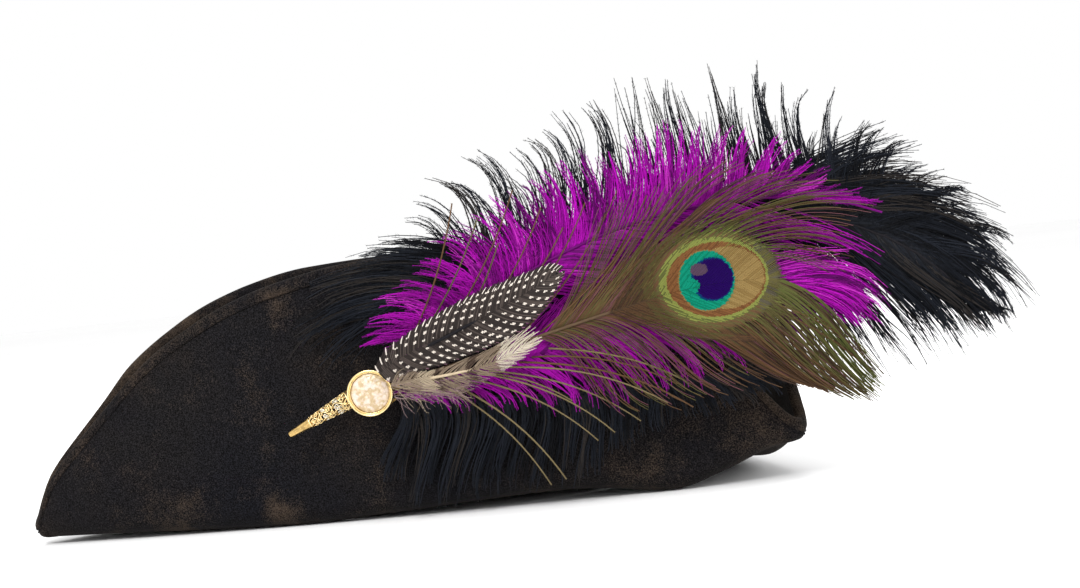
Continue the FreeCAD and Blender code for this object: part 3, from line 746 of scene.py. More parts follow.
# ---------------------------------------------------------------- spray: ostrich plumes
black_tones = [
    fibre_material("plume_black_deep", (0.0022, 0.0026, 0.0042)),
    fibre_material("plume_black_blue", (0.0055, 0.0070, 0.0110)),
    # Grey tone: partly the plume's own grey strands, partly a painted highlight, the bluish sheen of the
    # barbs given as lighter strands.
    fibre_material("plume_black_grey_and_painted_highlight", (0.0110, 0.0135, 0.0200)),
    fibre_material("plume_black_brown", (0.0230, 0.0195, 0.0180)),
]
purple_tones = [
    fibre_material("plume_purple_deep", (0.105, 0.0006, 0.110)),
    fibre_material("plume_purple_mid", (0.25, 0.0012, 0.25)),
    fibre_material("plume_purple_bright", (0.42, 0.003, 0.42)),
    # Pale tone: partly paler dyed strands, partly a painted highlight, the pinkish glints on the purple barbs
    # given as lighter strands.
    fibre_material("plume_purple_pale_and_painted_highlight", (0.52, 0.03, 0.48)),
]

BLACK_UP = [
    (0.0, -40, 20), (0.05, -30, 45), (0.13, 5, 72), (0.25, 55, 106), (0.36, 100, 124), (0.5, 145, 134),
    (0.64, 193, 130), (0.77, 245, 98), (0.86, 288, 50), (0.94, 300, 14), (1.0, 284, -6),
]
BLACK_UP_TURN = [
    (0.0, 238), (0.035, 215), (0.07, 196), (0.13, 178), (0.2, 168), (0.3, 158), (0.38, 140), (0.47, 112),
    (0.56, 95), (0.62, 78), (0.69, 52), (0.73, 38), (0.77, 12), (0.81, -12), (0.86, -38), (0.9, -52),
    (0.95, -66), (1.0, -85),
]
BLACK_DOWN = [(0.3, 107, 14), (0.5, 165, -4), (0.65, 200, -23), (0.85, 262, -15), (1.0, 287, -5)]
BLACK_DOWN_TURN = [(0.3, -80), (0.6, -72), (0.8, -64), (1.0, -75)]
black_quill = Quill(
    [(5, 5), (38, 26), (82, 47), (130, 62), (184, 64), (231, 51), (264, 27), (279, 3)], 7.4, 6.0
)


def fan_root(s):
    """Low barbs fold back over the hat; those near the quill's end set out early and trail past it."""
    return np.where(s < 0.16, 0.10 + s * 0.9, np.where(s > 0.66, 0.66 + (s - 0.66) * 0.62, s))


def fan_open(s):
    return np.interp(s, [0.0, 0.6, 0.7, 0.8, 1.0], [66.0, 58.0, 46.0, 22.0, 8.0])


plume_black = Fibres()
underlay(plume_black, black_quill, BLACK_UP, BLACK_UP_TURN, 110, (3.8, 5.6), (5, 3, 0, 0), root=fan_root,
         open_turn=fan_open)
plume(plume_black, black_quill, BLACK_UP, BLACK_UP_TURN, 46, 12, (3.8, 8.2), (3, 5, 3, 2), root=fan_root,
      fluff=(20, 4.2), open_turn=fan_open, scale=(0.88, 1.08), jitter=11)
plume(plume_black, black_quill, BLACK_UP, BLACK_UP_TURN, 60, 5, (3.8, 8.2), (4, 4, 2, 1), root=fan_root,
      fluff=(12, 5.0), scale=(0.45, 0.85), open_turn=fan_open)
obj = plume_black.build("black_plume_barbs", black_tones)
place(obj, "plume_spray", "plume_black", "black_plume_vane")
plume_ends = Fibres()
FAN = [g for g in BLACK_UP if g[0] < 0.14]
# The fan and its wisps take more of the grey tone: lighter blue-grey strands painted in as the bluish
# highlights of the fan.
plume(plume_ends, black_quill, FAN, BLACK_UP_TURN, 24, 11, (3.6, 8.0), (3, 4, 6, 1), root=fan_root,
      fluff=(16, 4.4), open_turn=fan_open, scale=(0.82, 1.04), jitter=6)
WISPS = [(0.0, -46, 13), (0.05, -38, 6), (0.10, -28, 9), (0.14, -20, 14)]
plume(plume_ends, black_quill, WISPS, [(0.0, 242), (0.14, 236)], 9, 4, (4.4, 8.4), (1, 3, 6, 1),
      fluff=(8, 3.4), root=lambda s: 0.10 + s * 0.9, open_turn=66, scale=(0.8, 1.0), jitter=10)
LOBE = [g for g in BLACK_UP if g[0] > 0.72]
underlay(plume_ends, black_quill, LOBE, BLACK_UP_TURN, 70, (3.8, 5.6), (6, 3, 0, 0), root=lambda s: s - 0.22,
         open_turn=16, scale=(0.6, 0.92), radius=2.0)
plume(plume_ends, black_quill, LOBE, BLACK_UP_TURN, 40, 12, (3.8, 8.2), (5, 5, 2, 1), root=lambda s: s - 0.20,
      fluff=(12, 3.6), open_turn=18, scale=(0.9, 1.05), window=0.06)
obj = plume_ends.build("black_plume_end_barbs", black_tones)
place(obj, "plume_spray", "plume_black")
plume_comb = Fibres()
underlay(plume_comb, black_quill, BLACK_DOWN, BLACK_DOWN_TURN, 110, (3.8, 5.6), (6, 3, 0, 0), side=-1,
         open_turn=40, root=lambda s: s * 0.9 - 0.10, scale=(0.6, 0.92), radius=2.0)
plume(plume_comb, black_quill, BLACK_DOWN, BLACK_DOWN_TURN, 64, 9, (3.8, 8.2), (4, 5, 2, 1), side=-1,
      fluff=(10, 2.6), open_turn=44, root=lambda s: s * 0.92 - 0.08, spread=1.0)
COMB_END = [(0.6, 262, -8), (0.8, 282, -5), (1.0, 293, 6)]
underlay(plume_comb, black_quill, COMB_END, [(0.6, -66), (1.0, -72)], 50, (3.8, 5.6), (6, 3, 0, 0), side=-1,
         open_turn=30, root=lambda s: 0.66 + (s - 0.6) * 0.72, scale=(0.6, 0.92), radius=2.0)
plume(plume_comb, black_quill, COMB_END, [(0.6, -66), (1.0, -72)], 22, 9, (3.8, 8.2), (4, 5, 2, 1), side=-1,
      fluff=(10, 2.6), open_turn=32, root=lambda s: 0.66 + (s - 0.6) * 0.72, spread=1.0)
obj = plume_comb.build("black_plume_lower_barbs", black_tones)
place(obj, "plume_spray", "plume_black")

lower_quill = Quill([(12, -4), (58, -8), (123, -9), (180, -6)], 7.4, 6.0)
LOWER_DOWN = [(0, -2, -38), (0.1, 12, -56), (0.3, 45, -56), (0.55, 95, -50), (0.7, 124, -34), (1, 190, -17)]
LOWER_UP = [(0, 22, 3), (0.5, 106, 9), (1, 195, 0)]
plume_low = Fibres()
LOWER_TURN = [(0, -104), (0.2, -90), (0.6, -84), (1, -70)]
underlay(plume_low, lower_quill, LOWER_DOWN, LOWER_TURN, 70, (3.6, 5.2), (5, 3, 0, 0), side=-1, open_turn=44,
         root=lambda s: s - 0.04, scale=(0.6, 0.85))
# This plume takes more of the grey tone: lighter blue-grey strands painted in as the bluish highlights that
# show over the cloth.
plume(plume_low, lower_quill, LOWER_DOWN, LOWER_TURN, 54, 9, (3.8, 7.8), (3, 4, 6, 1), side=-1,
      fluff=(12, 3.2), open_turn=44, root=lambda s: s - 0.05, spread=1.6, scale=(0.84, 1.06), cut=(0.84, 1.0))
plume(plume_low, lower_quill, LOWER_UP, [(0, 60), (1, 10)], 16, 5, (3.8, 7.0), (4, 4, 1, 0), fluff=(8, 3.0),
      open_turn=30)
obj = plume_low.build("black_lower_plume_barbs", black_tones)
place(obj, "plume_spray", "plume_black", "black_lower_plume_vane")

PURPLE_UP = [
    (0.0, -8, 20), (0.08, 5, 42), (0.2, 38, 70), (0.36, 82, 94), (0.6, 150, 114), (0.78, 200, 95),
    (0.9, 230, 68), (1, 242, 60),
]
PURPLE_DOWN = [(0.3, 90, 33), (0.7, 200, 36), (0.85, 230, 40), (1, 242, 32)]
purple_quill = Quill([(7, 8), (49, 33), (93, 54), (139, 67), (184, 70), (219, 65), (238, 58)], 9.5, 11.3)
plume_purple = Fibres()
PURPLE_TURN = [
    (0.0, 205), (0.08, 192), (0.18, 172), (0.3, 150), (0.42, 125), (0.54, 98), (0.62, 80), (0.7, 55),
    (0.8, 30), (0.9, 8), (1, -10),
]


def purple_root(s):
    return np.where(s < 0.2, 0.06 + s, np.where(s > 0.7, 0.7 + (s - 0.7) * 0.7, s * 0.93 + 0.05))


def purple_open(s):
    return np.interp(s, [0, 0.6, 0.75, 1.0], [58.0, 52.0, 36.0, 8.0])


underlay(plume_purple, purple_quill, PURPLE_UP, PURPLE_TURN, 90, (9.5, 10.8), (4, 5, 0, 0), root=purple_root,
         open_turn=purple_open)
plume(plume_purple, purple_quill, PURPLE_UP, PURPLE_TURN, 50, 9, (9.8, 13.0), (2, 6, 6, 1), fluff=(16, 4.0),
      root=purple_root, open_turn=purple_open)
plume(plume_purple, purple_quill, PURPLE_UP, PURPLE_TURN, 50, 5, (9.8, 13.0), (2, 7, 5, 1), fluff=(12, 4.0),
      root=purple_root, open_turn=purple_open, scale=(0.45, 0.85))
PURPLE_DOWN_TURN = [(0.3, -20), (0.7, -30), (1, -42)]
underlay(plume_purple, purple_quill, PURPLE_DOWN, PURPLE_DOWN_TURN, 60, (9.5, 10.8), (4, 5, 0, 0), side=-1,
         open_turn=26, root=lambda s: s * 0.72 - 0.02, scale=(0.6, 0.92), radius=2.0)
plume(plume_purple, purple_quill, PURPLE_DOWN, PURPLE_DOWN_TURN, 26, 12, (9.6, 12.6), (2, 6, 5, 1), side=-1,
      fluff=(10, 3.2), open_turn=28, root=lambda s: s * 0.76 - 0.02, window=0.05, scale=(0.85, 1.03))
plume(plume_purple, purple_quill, PURPLE_UP, PURPLE_TURN, 34, 4, (12.4, 13.4), (2, 7, 4, 0), fluff=(8, 3.6),
      root=lambda s: purple_root(s) - 0.03, open_turn=16, scale=(0.30, 0.45))
obj = plume_purple.build("purple_plume_barbs", purple_tones)
place(obj, "plume_spray", "plume_purple", "purple_plume_vane")

PLOW_UP = [(0.3, 90, 38), (0.7, 200, 50), (0.85, 234, 37), (1, 240, 20)]
PLOW_DOWN = [(0, 18, -4), (0.12, 45, -14), (0.35, 100, -20), (0.55, 145, -16), (0.8, 208, 6), (1, 226, 7)]
plow_quill = Quill([(14, -1), (61, 7), (117, 17), (171, 26), (211, 22), (226, 12)], 9.5, 15.5)
plume_plow = Fibres()
PLOW_DOWN_TURN = [(0, -80), (0.3, -95), (0.5, -92), (0.7, -75), (1, -60)]
PLOW_UP_TURN = [(0.3, 30), (0.7, 8), (1, -45)]
underlay(plume_plow, plow_quill, PLOW_UP, PLOW_UP_TURN, 60, (13.9, 15.0), (4, 5, 0, 0), open_turn=26,
         root=lambda s: s * 0.76 - 0.04, scale=(0.6, 0.92), radius=2.0)
plume(plume_plow, plow_quill, PLOW_UP, PLOW_UP_TURN, 26, 12, (14.0, 16.9), (2, 6, 6, 1), fluff=(10, 3.4),
      open_turn=26, root=lambda s: s * 0.8 - 0.04, window=0.05, scale=(0.85, 1.03))
underlay(plume_plow, plow_quill, PLOW_DOWN, PLOW_DOWN_TURN, 60, (13.9, 15.0), (5, 4, 0, 0), side=-1,
         open_turn=40, root=lambda s: s - 0.05, radius=1.4)
plume(plume_plow, plow_quill, PLOW_DOWN, PLOW_DOWN_TURN, 40, 9, (14.0, 16.9), (2, 6, 6, 1.5), side=-1,
      fluff=(12, 3.0), open_turn=40, root=lambda s: s - 0.06, spread=1.4, scale=(0.8, 1.0))
PLOW_LOBE = [(0.7, 244, 25), (0.85, 241, 16), (0.95, 233, 9), (1, 226, 5)]
underlay(plume_plow, plow_quill, PLOW_LOBE, [(0.7, -50), (1, -70)], 34, (13.9, 15.0), (3, 6, 1, 0),
         open_turn=16, root=lambda s: s * 0.76, scale=(0.6, 0.95), radius=2.0)
plume(plume_plow, plow_quill, PLOW_LOBE, [(0.7, -50), (1, -70)], 20, 12, (14.0, 16.9), (2, 6, 6, 0.5),
      fluff=(10, 3.4), open_turn=16, root=lambda s: s * 0.78, window=0.06, scale=(0.88, 1.03))
obj = plume_plow.build("purple_lower_plume_barbs", purple_tones)
place(obj, "plume_spray", "plume_purple", "purple_lower_plume_vane")

# ---------------------------------------------------------------- spray: peacock feather
peacock_colors = {
    "bronze": (0.125, 0.068, 0.034), "brown": (0.062, 0.036, 0.024), "rose": (0.16, 0.065, 0.075),
    "olive": (0.105, 0.092, 0.034), "lime": (0.200, 0.225, 0.055), "green": (0.098, 0.108, 0.032),
    "grey": (0.085, 0.074, 0.050), "copper": (0.185, 0.082, 0.030), "copper_dark": (0.130, 0.055, 0.021),
    "tan": (0.265, 0.180, 0.066), "tan_dark": (0.215, 0.140, 0.048),
    "teal": (0.004, 0.240, 0.150), "teal_dark": (0.002, 0.175, 0.105), "indigo": (0.013, 0.0006, 0.075),
    "mauve": (0.085, 0.050, 0.085), "blue": (0.002, 0.03, 0.12), "straw": (0.19, 0.150, 0.075),
}
peacock_names = list(peacock_colors)
peacock_tones = [
    fibre_material("peacock_" + key, color, 0.42, 0.05) for key, color in peacock_colors.items()
]
P = {key: i for i, key in enumerate(peacock_names)}
peacock_quill = Quill([(14, 3.5), (48, 11), (83, 19), (118, 27), (160, 34), (187, 34)], 9.5, 19.3)
peacock = Fibres()


def shaft_share(quill, x):
    return np.interp(x, quill.places[:, 0], np.linspace(0, 1, QUILL_SAMPLES))


def herls(roots_tips, curl, tones, radius=0.34, hair=1.05, per=52, steps=14, depth=(18.4, 20.2), lean=48.0):
    """Separate peacock strands with short bristles down both sides."""
    data = np.array(roots_tips, float)
    k = len(data)
    root, way = peacock_quill.at(shaft_share(peacock_quill, data[:, 0]))
    root[:, 2] += (data[:, 1] - root[:, 2]) * 0.6
    tip = np.stack([data[:, 2], rng.uniform(*depth, k), data[:, 3]], -1)
    chord = np.degrees(np.arctan2(tip[:, 2] - root[:, 2], tip[:, 0] - root[:, 0]))
    lines = sweep(root, heading(chord + curl), tip, heading(chord - curl * 1.2), steps)
    tone = rng.choice(tones, k)
    radii = radius * (1.0 - 0.35 * np.linspace(0, 1, steps))[None] * rng.uniform(0.85, 1.15, (k, 1))
    peacock.strands(lines, radii, tone)
    peacock.fringe(lines, tone, per, hair, lean, radius=0.19, first=0.05, taper=0.2, wild=8)


herls(
    [(9, 18, 47, 82), (28, 19, 75, 85), (44, 20, 87, 76), (63, 21, 107, 76), (81, 21, 136, 71),
     (14, 15, 58, 74), (52, 20, 96, 66), (72, 22, 122, 80), (35, 18, 66, 62), (88, 22, 128, 62)],
    -9.0, [P["bronze"], P["olive"], P["bronze"]], radius=0.50, hair=1.30,
)
herls(
    [(28, 2, 79, -49), (33, 1, 86, -47), (42, 0, 102, -31), (51, 0, 110, -28), (61, 1, 135, -17),
     (70, 2, 146, -20), (56, 0, 122, -24), (76, 4, 140, -9), (46, 2, 92, -12), (84, 8, 152, -14)],
    14.0, [P["straw"], P["straw"], P["bronze"]], radius=0.50, hair=1.25, per=60,
)

PEA_UP = [
    (0.3, 114, 74), (0.45, 142, 83), (0.6, 172, 89), (0.75, 210, 78), (0.85, 235, 62),
    (0.93, 226, 43), (1, 215, 28),
]
PEA_UP_TURN = [
    (0.3, 62), (0.48, 58), (0.55, 42), (0.62, 22), (0.68, 12), (0.74, 2), (0.8, -8), (0.9, -22), (1, -35),
]
PEA_DOWN = [(0.3, 113, -20), (0.5, 150, -17), (0.68, 194, -11), (0.8, 225, -23), (0.9, 230, -16), (1, 222, 1)]


def vane(guides, turns, count, side, roots, open_turn, tones_of, hair=0.7, per=26, steps=14,
         depth=(18.3, 20.3), radius=0.30, reach=(0.40, 0.36), spread=1.6, cut=(0.86, 1.0)):
    share = (np.arange(count) + rng.uniform(0.2, 0.8, count)) / count
    s, x, z, turn = guide_line(guides, turns, share)
    root, way = peacock_quill.at(shaft_share(peacock_quill, np.interp(share, [0, 1], roots)))
    tip = np.stack([x, rng.uniform(*depth, count), z], -1) + rng.normal(0, spread, (count, 3)) * [1, 0, 1]
    angle = np.degrees(np.arctan2(way[:, 2], way[:, 0])) + side * open_turn
    lines = sweep(root, heading(angle), tip, heading(turn + rng.normal(0, 3, count)), steps,
                  rng.uniform(*cut, count), reach)
    tone = tones_of(lines)
    radii = radius * (1.0 - 0.45 * np.linspace(0, 1, steps))[None] * rng.uniform(0.85, 1.15, (count, 1))
    peacock.strands(lines, radii, tone)
    peacock.fringe(lines, tone, per, hair, 45.0, radius=0.11, first=0.03, taper=0.3, wild=8)


def by_eye(lines):
    """Lime, green and olive round the eye; further out each strand has one brown tone of its own."""
    middle = (lines[:, 1:] + lines[:, :-1]) / 2
    near = np.hypot((middle[..., 0] - 162) / 23, (middle[..., 2] - 35) / 18)
    near = near + rng.normal(0, 0.10, (len(lines), 1))
    own = rng.choice([P["bronze"], P["brown"], P["olive"], P["rose"]], len(lines), p=[0.4, 0.2, 0.25, 0.15])
    own = np.repeat(own[:, None], middle.shape[1], 1)
    own = np.where(near < 1.6, P["olive"], own)
    return np.where(near < 1.16, P["lime"], np.where(near < 1.32, P["green"], own))


vane(PEA_UP, PEA_UP_TURN, 120, 1, (84, 150), 34, by_eye)
vane(PEA_DOWN, [(0.3, -22), (0.6, -22), (0.8, -34), (1, -60)], 110, -1, (78, 165), 26, by_eye)
vane([(0.3, 150, 60), (0.6, 196, 66), (1, 222, 44)], [(0.3, 20), (1, -30)], 40, 1, (100, 150), 30, by_eye,
     depth=(19.6, 20.6))


def beak(lines):
    """Bronze at the start of the row, then olive, then green, with some brown strips."""
    k, n = len(lines), lines.shape[1] - 1
    share = np.linspace(0, 1, k)[:, None] + rng.normal(0, 0.12, (k, 1))
    slot = np.where(share > 0.80, P["green"], np.where(share > 0.45, P["olive"], P["bronze"]))
    slot = np.where(rng.uniform(size=(k, 1)) < 0.22, P["brown"], slot)
    return np.repeat(slot, n, 1)


BEAK_TURN = [(0.3, -22), (0.7, -32), (1, -50)]
vane([(0.3, 196, -15), (0.6, 214, -22), (0.8, 230, -25), (1, 231, -12)], BEAK_TURN, 110, -1,
     (112, 187), 14, beak, depth=(18.6, 20.4), spread=0.5, hair=0.45, radius=0.38, cut=(0.93, 1.0))
vane([(0.3, 194, -13), (0.6, 213, -21), (0.8, 228, -24), (1, 229, -13)], BEAK_TURN, 80, -1,
     (118, 187), 14, beak, depth=(17.6, 18.4), spread=0.5, hair=0.4, per=8, radius=0.50, cut=(0.90, 0.98))
obj = peacock.build("peacock_barbs", peacock_tones)
place(obj, "plume_spray", "peacock_vane", "peacock_vane")
eye = Fibres()


def eye_zone(x, z, dark):
    """Colour slot of the eye at a place in its plane; dark picks the deeper shade of a pair."""
    def inside(cx, cz, rx, rz):
        return ((x - cx) / rx) ** 2 + ((z - cz) / rz) ** 2 < 1

    slot = np.where(dark, P["brown"], P["bronze"])
    slot = np.where(inside(161, 35.6, 32.0, 26.0), np.where(dark, P["bronze"], P["olive"]), slot)
    slot = np.where((x < 186) & inside(160.9, 35.8, 24.5, 19.0), np.where(dark, P["green"], P["lime"]), slot)
    slot = np.where((x > 180) & ~inside(162, 36, 23.2, 17.8), np.where(dark, P["grey"], P["olive"]), slot)
    slot = np.where(inside(162, 36, 23.2, 17.8), P["lime"], slot)
    slot = np.where(inside(162, 36, 22.0, 16.7), np.where(dark, P["copper_dark"], P["copper"]), slot)
    slot = np.where(inside(166.6, 36.2, 16.8, 13.8), np.where(dark, P["tan_dark"], P["tan"]), slot)
    slot = np.where(inside(157.8, 35.8, 12.9, 13.8), P["tan_dark"], slot)
    slot = np.where(inside(157.8, 35.8, 12.4, 13.3), np.where(dark, P["teal_dark"], P["teal"]), slot)
    slot = np.where(inside(160.2, 36.2, 9.5, 9.7), P["blue"], slot)
    slot = np.where(inside(160.6, 36.2, 8.8, 9.1), P["indigo"], slot)
    slot = np.where(inside(150.0, 34.0, 4.4, 3.6), np.where(dark, P["teal_dark"], P["teal"]), slot)
    slot = np.where(inside(154.6, 41.0, 4.0, 2.8), P["mauve"], slot)
    return slot


def eye_strips(side):
    roots = np.arange(113.0, 188.5, 0.80)
    k, steps, probe = len(roots), 60, 140
    root, way = peacock_quill.at(shaft_share(peacock_quill, roots))
    base = np.degrees(np.arctan2(way[:, 2], way[:, 0]))
    open_at = np.interp(roots, [106, 150, 176, 188], [44, 40, 34, 6])
    end_at = np.interp(roots, [106, 150, 176, 188], [14, 18, 13, 2])
    far = np.linspace(0, 1, probe)
    angle = np.radians(base[:, None] + side * (open_at[:, None] * (1 - far) + end_at[:, None] * far))
    x = root[:, 0][:, None] + np.concatenate([np.zeros((k, 1)), np.cumsum(np.cos(angle[:, 1:]) * 0.5, 1)], 1)
    z = root[:, 2][:, None] + np.concatenate([np.zeros((k, 1)), np.cumsum(np.sin(angle[:, 1:]) * 0.5, 1)], 1)
    reach_out = np.hypot((x - 162) / 29.0, (z - 35.5) / 22.5)
    last = probe - 1 - np.argmax(reach_out[:, ::-1] < 1.0, 1)
    last = np.clip(last + rng.normal(0, 1.0, k), 12, probe - 1)
    pick = np.linspace(0, 1, steps)[None] * last[:, None]
    low = np.minimum(pick.astype(int), probe - 2)
    part = pick - low
    rows = np.arange(k)[:, None]
    x = x[rows, low] * (1 - part) + x[rows, low + 1] * part
    z = z[rows, low] * (1 - part) + z[rows, low + 1] * part
    t = np.linspace(0, 1, steps)[None]
    d = 20.25 + 0.12 * (np.arange(k)[:, None] % 2) - 0.8 * t**2 + 0 * x
    lines = np.stack([x, d, z], -1)
    mid = (lines[:, 1:] + lines[:, :-1]) / 2
    dark = (rng.uniform(size=(k, 1)) < 0.35) | (rng.uniform(size=(k, steps - 1)) < 0.06)
    slot = eye_zone(mid[..., 0] + rng.normal(0, 0.18, (k, 1)), mid[..., 2], dark)
    thin = np.clip((1.04 - np.hypot((x - 162) / 29.0, (z - 35.5) / 22.5)) / 0.12, 0.4, 1.0)
    eye.strands(lines, 0.40 * thin, slot, flat=0.6)


eye_strips(1)
eye_strips(-1)
obj = eye.build("peacock_eye_barbs", peacock_tones)
place(obj, "plume_spray", "peacock_vane")

# ---------------------------------------------------------------- spray: guinea and barred feathers
guinea_tones = [
    fibre_material("guinea_dark", (0.030, 0.023, 0.021)),
    fibre_material("guinea_taupe", (0.068, 0.053, 0.047)),
    fibre_material("guinea_white", (0.70, 0.63, 0.56)),
    fibre_material("guinea_pink", (0.34, 0.18, 0.24)),
]
guinea_quill = Quill([(2, 5), (11, 11.5), (50, 27), (92, 46)], 22.4, 22.4)
GUINEA_UP = [(3, 10), (10, 20), (32, 32), (56, 42), (90, 51), (96, 48)]
GUINEA_DOWN = [(12, 4), (45, 12), (70, 19), (85, 30), (94, 43), (96, 48)]
guinea = Fibres()


def edge_distance(line, origin, way):
    """Distance from each origin to where its ray last crosses an open line; 6 where it misses."""
    line = np.array(line, float)
    best = np.full(len(origin), np.nan)
    for a, b in zip(line[:-1], line[1:]):
        e = b - a
        cross = way[:, 0] * e[1] - way[:, 1] * e[0]
        with np.errstate(divide="ignore", invalid="ignore"):
            t = ((a[0] - origin[:, 0]) * e[1] - (a[1] - origin[:, 1]) * e[0]) / cross
            u = ((a[0] - origin[:, 0]) * way[:, 1] - (a[1] - origin[:, 1]) * way[:, 0]) / cross
        hit = (t > 0) & (u >= 0) & (u <= 1)
        best = np.where(hit & (np.isnan(best) | (t > best)), t, best)
    return np.where(np.isnan(best), 6.0, best)


def guinea_side(edge_line, side):
    share = np.linspace(0.062, 0.995, 124)
    k, steps = len(share), 40
    root, way = guinea_quill.at(share)
    base = np.arctan2(way[:, 2], way[:, 0])
    turn = base + side * np.radians(np.interp(share, [0.06, 0.2, 0.8, 1], [84, 50, 38, 14]))
    ahead = np.stack([np.cos(turn), np.sin(turn)], -1)
    reach_to = np.minimum(edge_distance(edge_line, root[:, [0, 2]], ahead), 26) * rng.uniform(0.95, 1.03, k)
    t = np.linspace(0, 1, steps)[None]
    x = root[:, 0][:, None] + ahead[:, 0][:, None] * reach_to[:, None] * t
    z = root[:, 2][:, None] + ahead[:, 1][:, None] * reach_to[:, None] * t
    bow = side * 1.3 * np.sin(math.pi * t) * (reach_to[:, None] / 20)
    x, z = x - ahead[:, 1][:, None] * bow, z + ahead[:, 0][:, None] * bow
    d = 22.4 + 0.07 * (np.arange(k)[:, None] % 2) - 0.6 * t + 0 * x
    lines = np.stack([x, d, z], -1)
    mid = (lines[:, 1:] + lines[:, :-1]) / 2
    along_barb = (t[:, 1:] + t[:, :-1]) / 2 * reach_to[:, None]
    row = share[:, None] * 95 / 4.4
    column = along_barb / 3.6 - 0.18 * np.floor(row)
    stagger = 0.5 * (np.floor(row) % 2)
    du = (row - np.floor(row) - 0.5) * 4.4 * 0.92
    dv = (column + stagger - np.floor(column + stagger) - 0.5) * 3.6
    dot = du**2 + dv**2 < np.interp(along_barb, [0, 4, 14], [0.45, 0.74, 0.86]) ** 2
    dot &= along_barb > 1.2
    slot = np.where(rng.uniform(size=(k, 1)) < 0.45, 1, 0) * np.ones(mid.shape[:2], int)
    slot = np.where(dot, 2, slot)
    rim = along_barb > reach_to[:, None] - (3.4 if side > 0 else 1.4)
    comb = (np.arange(k)[:, None] % 4) < 1
    slot = np.where(rim, np.where(comb, 2 if side > 0 else 3, 0), slot)
    radii = 0.47 * np.clip((1.0 - t) / 0.14, 0.35, 1.0) + 0 * x
    guinea.strands(lines, radii, slot, flat=0.45)


guinea_side(GUINEA_UP, 1)
guinea_side(GUINEA_DOWN, -1)
obj = guinea.build("guinea_barbs", guinea_tones)
place(obj, "plume_spray", "guinea_vane", "guinea_vane")

barred_tones = [
    fibre_material("barred_cream", (0.52, 0.43, 0.31), 0.6),
    fibre_material("barred_beige", (0.30, 0.23, 0.165), 0.6),
    fibre_material("barred_dark", (0.105, 0.070, 0.052), 0.6),
    fibre_material("barred_pink", (0.38, 0.27, 0.27), 0.6),
    fibre_material("barred_white", (0.68, 0.61, 0.50), 0.6),
]
barred_quill = Quill([(9, 1), (13, 3), (44, 6), (78, 16)], 25.0, 25.0)
BARRED_UP = [(15, 5), (34, 8.5), (50, 12), (64, 17.5), (76, 23), (83, 22)]
BARRED_DOWN = [(15, -2), (33, -4.5), (52, 0), (68, 7), (78, 13), (83, 19)]
barred = Fibres()


def barred_side(edge_line, side):
    count, steps = 120, 16
    share = np.clip(np.linspace(0.04, 0.99, count) + rng.normal(0, 0.006, count), 0, 1)
    root, way = barred_quill.at(share)
    base = np.arctan2(way[:, 2], way[:, 0])
    turn = base + side * np.radians(np.interp(share, [0, 0.7, 1], [34, 24, 6]) + rng.normal(0, 4, count))
    ahead = np.stack([np.cos(turn), np.sin(turn)], -1)
    reach_to = np.clip(edge_distance(edge_line, root[:, [0, 2]], ahead), 5, 20) * rng.uniform(0.8, 1.1, count)
    tip = root.copy()
    tip[:, 0] += ahead[:, 0] * reach_to
    tip[:, 2] += ahead[:, 1] * reach_to
    tip[:, 1] += rng.normal(0, 0.6, count)
    degrees = np.degrees(turn)
    lines = sweep(root, heading(degrees + side * 12), tip, heading(degrees - side * 10), steps)
    mid_x = (lines[:, 1:, 0] + lines[:, :-1, 0]) / 2
    shaft = np.interp(lines[:, 1:, 0], barred_quill.places[:, 0], barred_quill.places[:, 2])
    mark = mid_x - 0.35 * np.abs(lines[:, 1:, 2] - shaft)
    mark = mark + rng.normal(0, 0.7, (count, 1))
    slot = np.select(
        [mark < 24, mark < 31, mark < 34, mark < 46, mark < 50, mark < 61],
        [1, 0, 2, 1, 2, 1], 4,
    )
    radii = 0.20 * (1 - 0.5 * np.linspace(0, 1, steps))[None] * rng.uniform(0.8, 1.2, (count, 1))
    barred.strands(lines, radii, slot)
    barred.fringe(lines, slot, 9, 1.5, 26.0, radius=0.07, first=0.2, taper=0.5, wild=6)


barred_side(BARRED_UP, 1)
barred_side(BARRED_DOWN, -1)
k = 150
root = np.stack([rng.uniform(12, 44, k), rng.uniform(23.2, 25.4, k), rng.uniform(-4, 5, k)], -1)
turn = rng.normal(-18, 26, k)
size = rng.uniform(6, 13, k)
tip = root + heading(turn, 0.05) * size[:, None]
lines = sweep(root, heading(turn + rng.normal(0, 25, k)), tip, heading(turn + rng.normal(0, 30, k)), 8)
tone = rng.choice([1, 3, 3, 0], k)
barred.strands(lines, np.full((k, 8), 0.09) * np.linspace(1, 0.5, 8)[None], tone)
barred.fringe(lines, tone, 8, 1.6, 45.0, radius=0.05)
obj = barred.build("barred_barbs", barred_tones)
place(obj, "plume_spray", "barred_vane", "barred_vane")

# ---------------------------------------------------------------- spray: medallion, ferrule and pin
def metal(name, color, rough, spots=0.5):
    """Plated metal: fine wear in the roughness, slightly deeper colour in patches of a fine noise."""
    n = Nodes(name, color, rough, Metallic=1.0)
    patina = n.noise(260.0, 5.0, 0.65)
    deep = tuple(c * 0.55 for c in color)
    n.color(n.ramp(patina, (0.30, deep), (0.30 + 0.4 * spots, color)))
    n.rough(n.ramp(n.noise(700.0, 3.0), (0.3, rough * 0.75), (0.75, rough * 1.5)))
    n.bump(n.noise(1800.0, 2.0), 0.12, 0.00015)
    return n.material


gold = metal("gold_plate", (0.78, 0.53, 0.20), 0.26)
gold_bright = metal("gold_plate_bright", (0.93, 0.72, 0.36), 0.22, 0.3)
silvery = metal("pale_wire", (0.82, 0.76, 0.62), 0.24, 0.3)
steel = metal("pin_steel_wire", (0.55, 0.55, 0.56), 0.28)

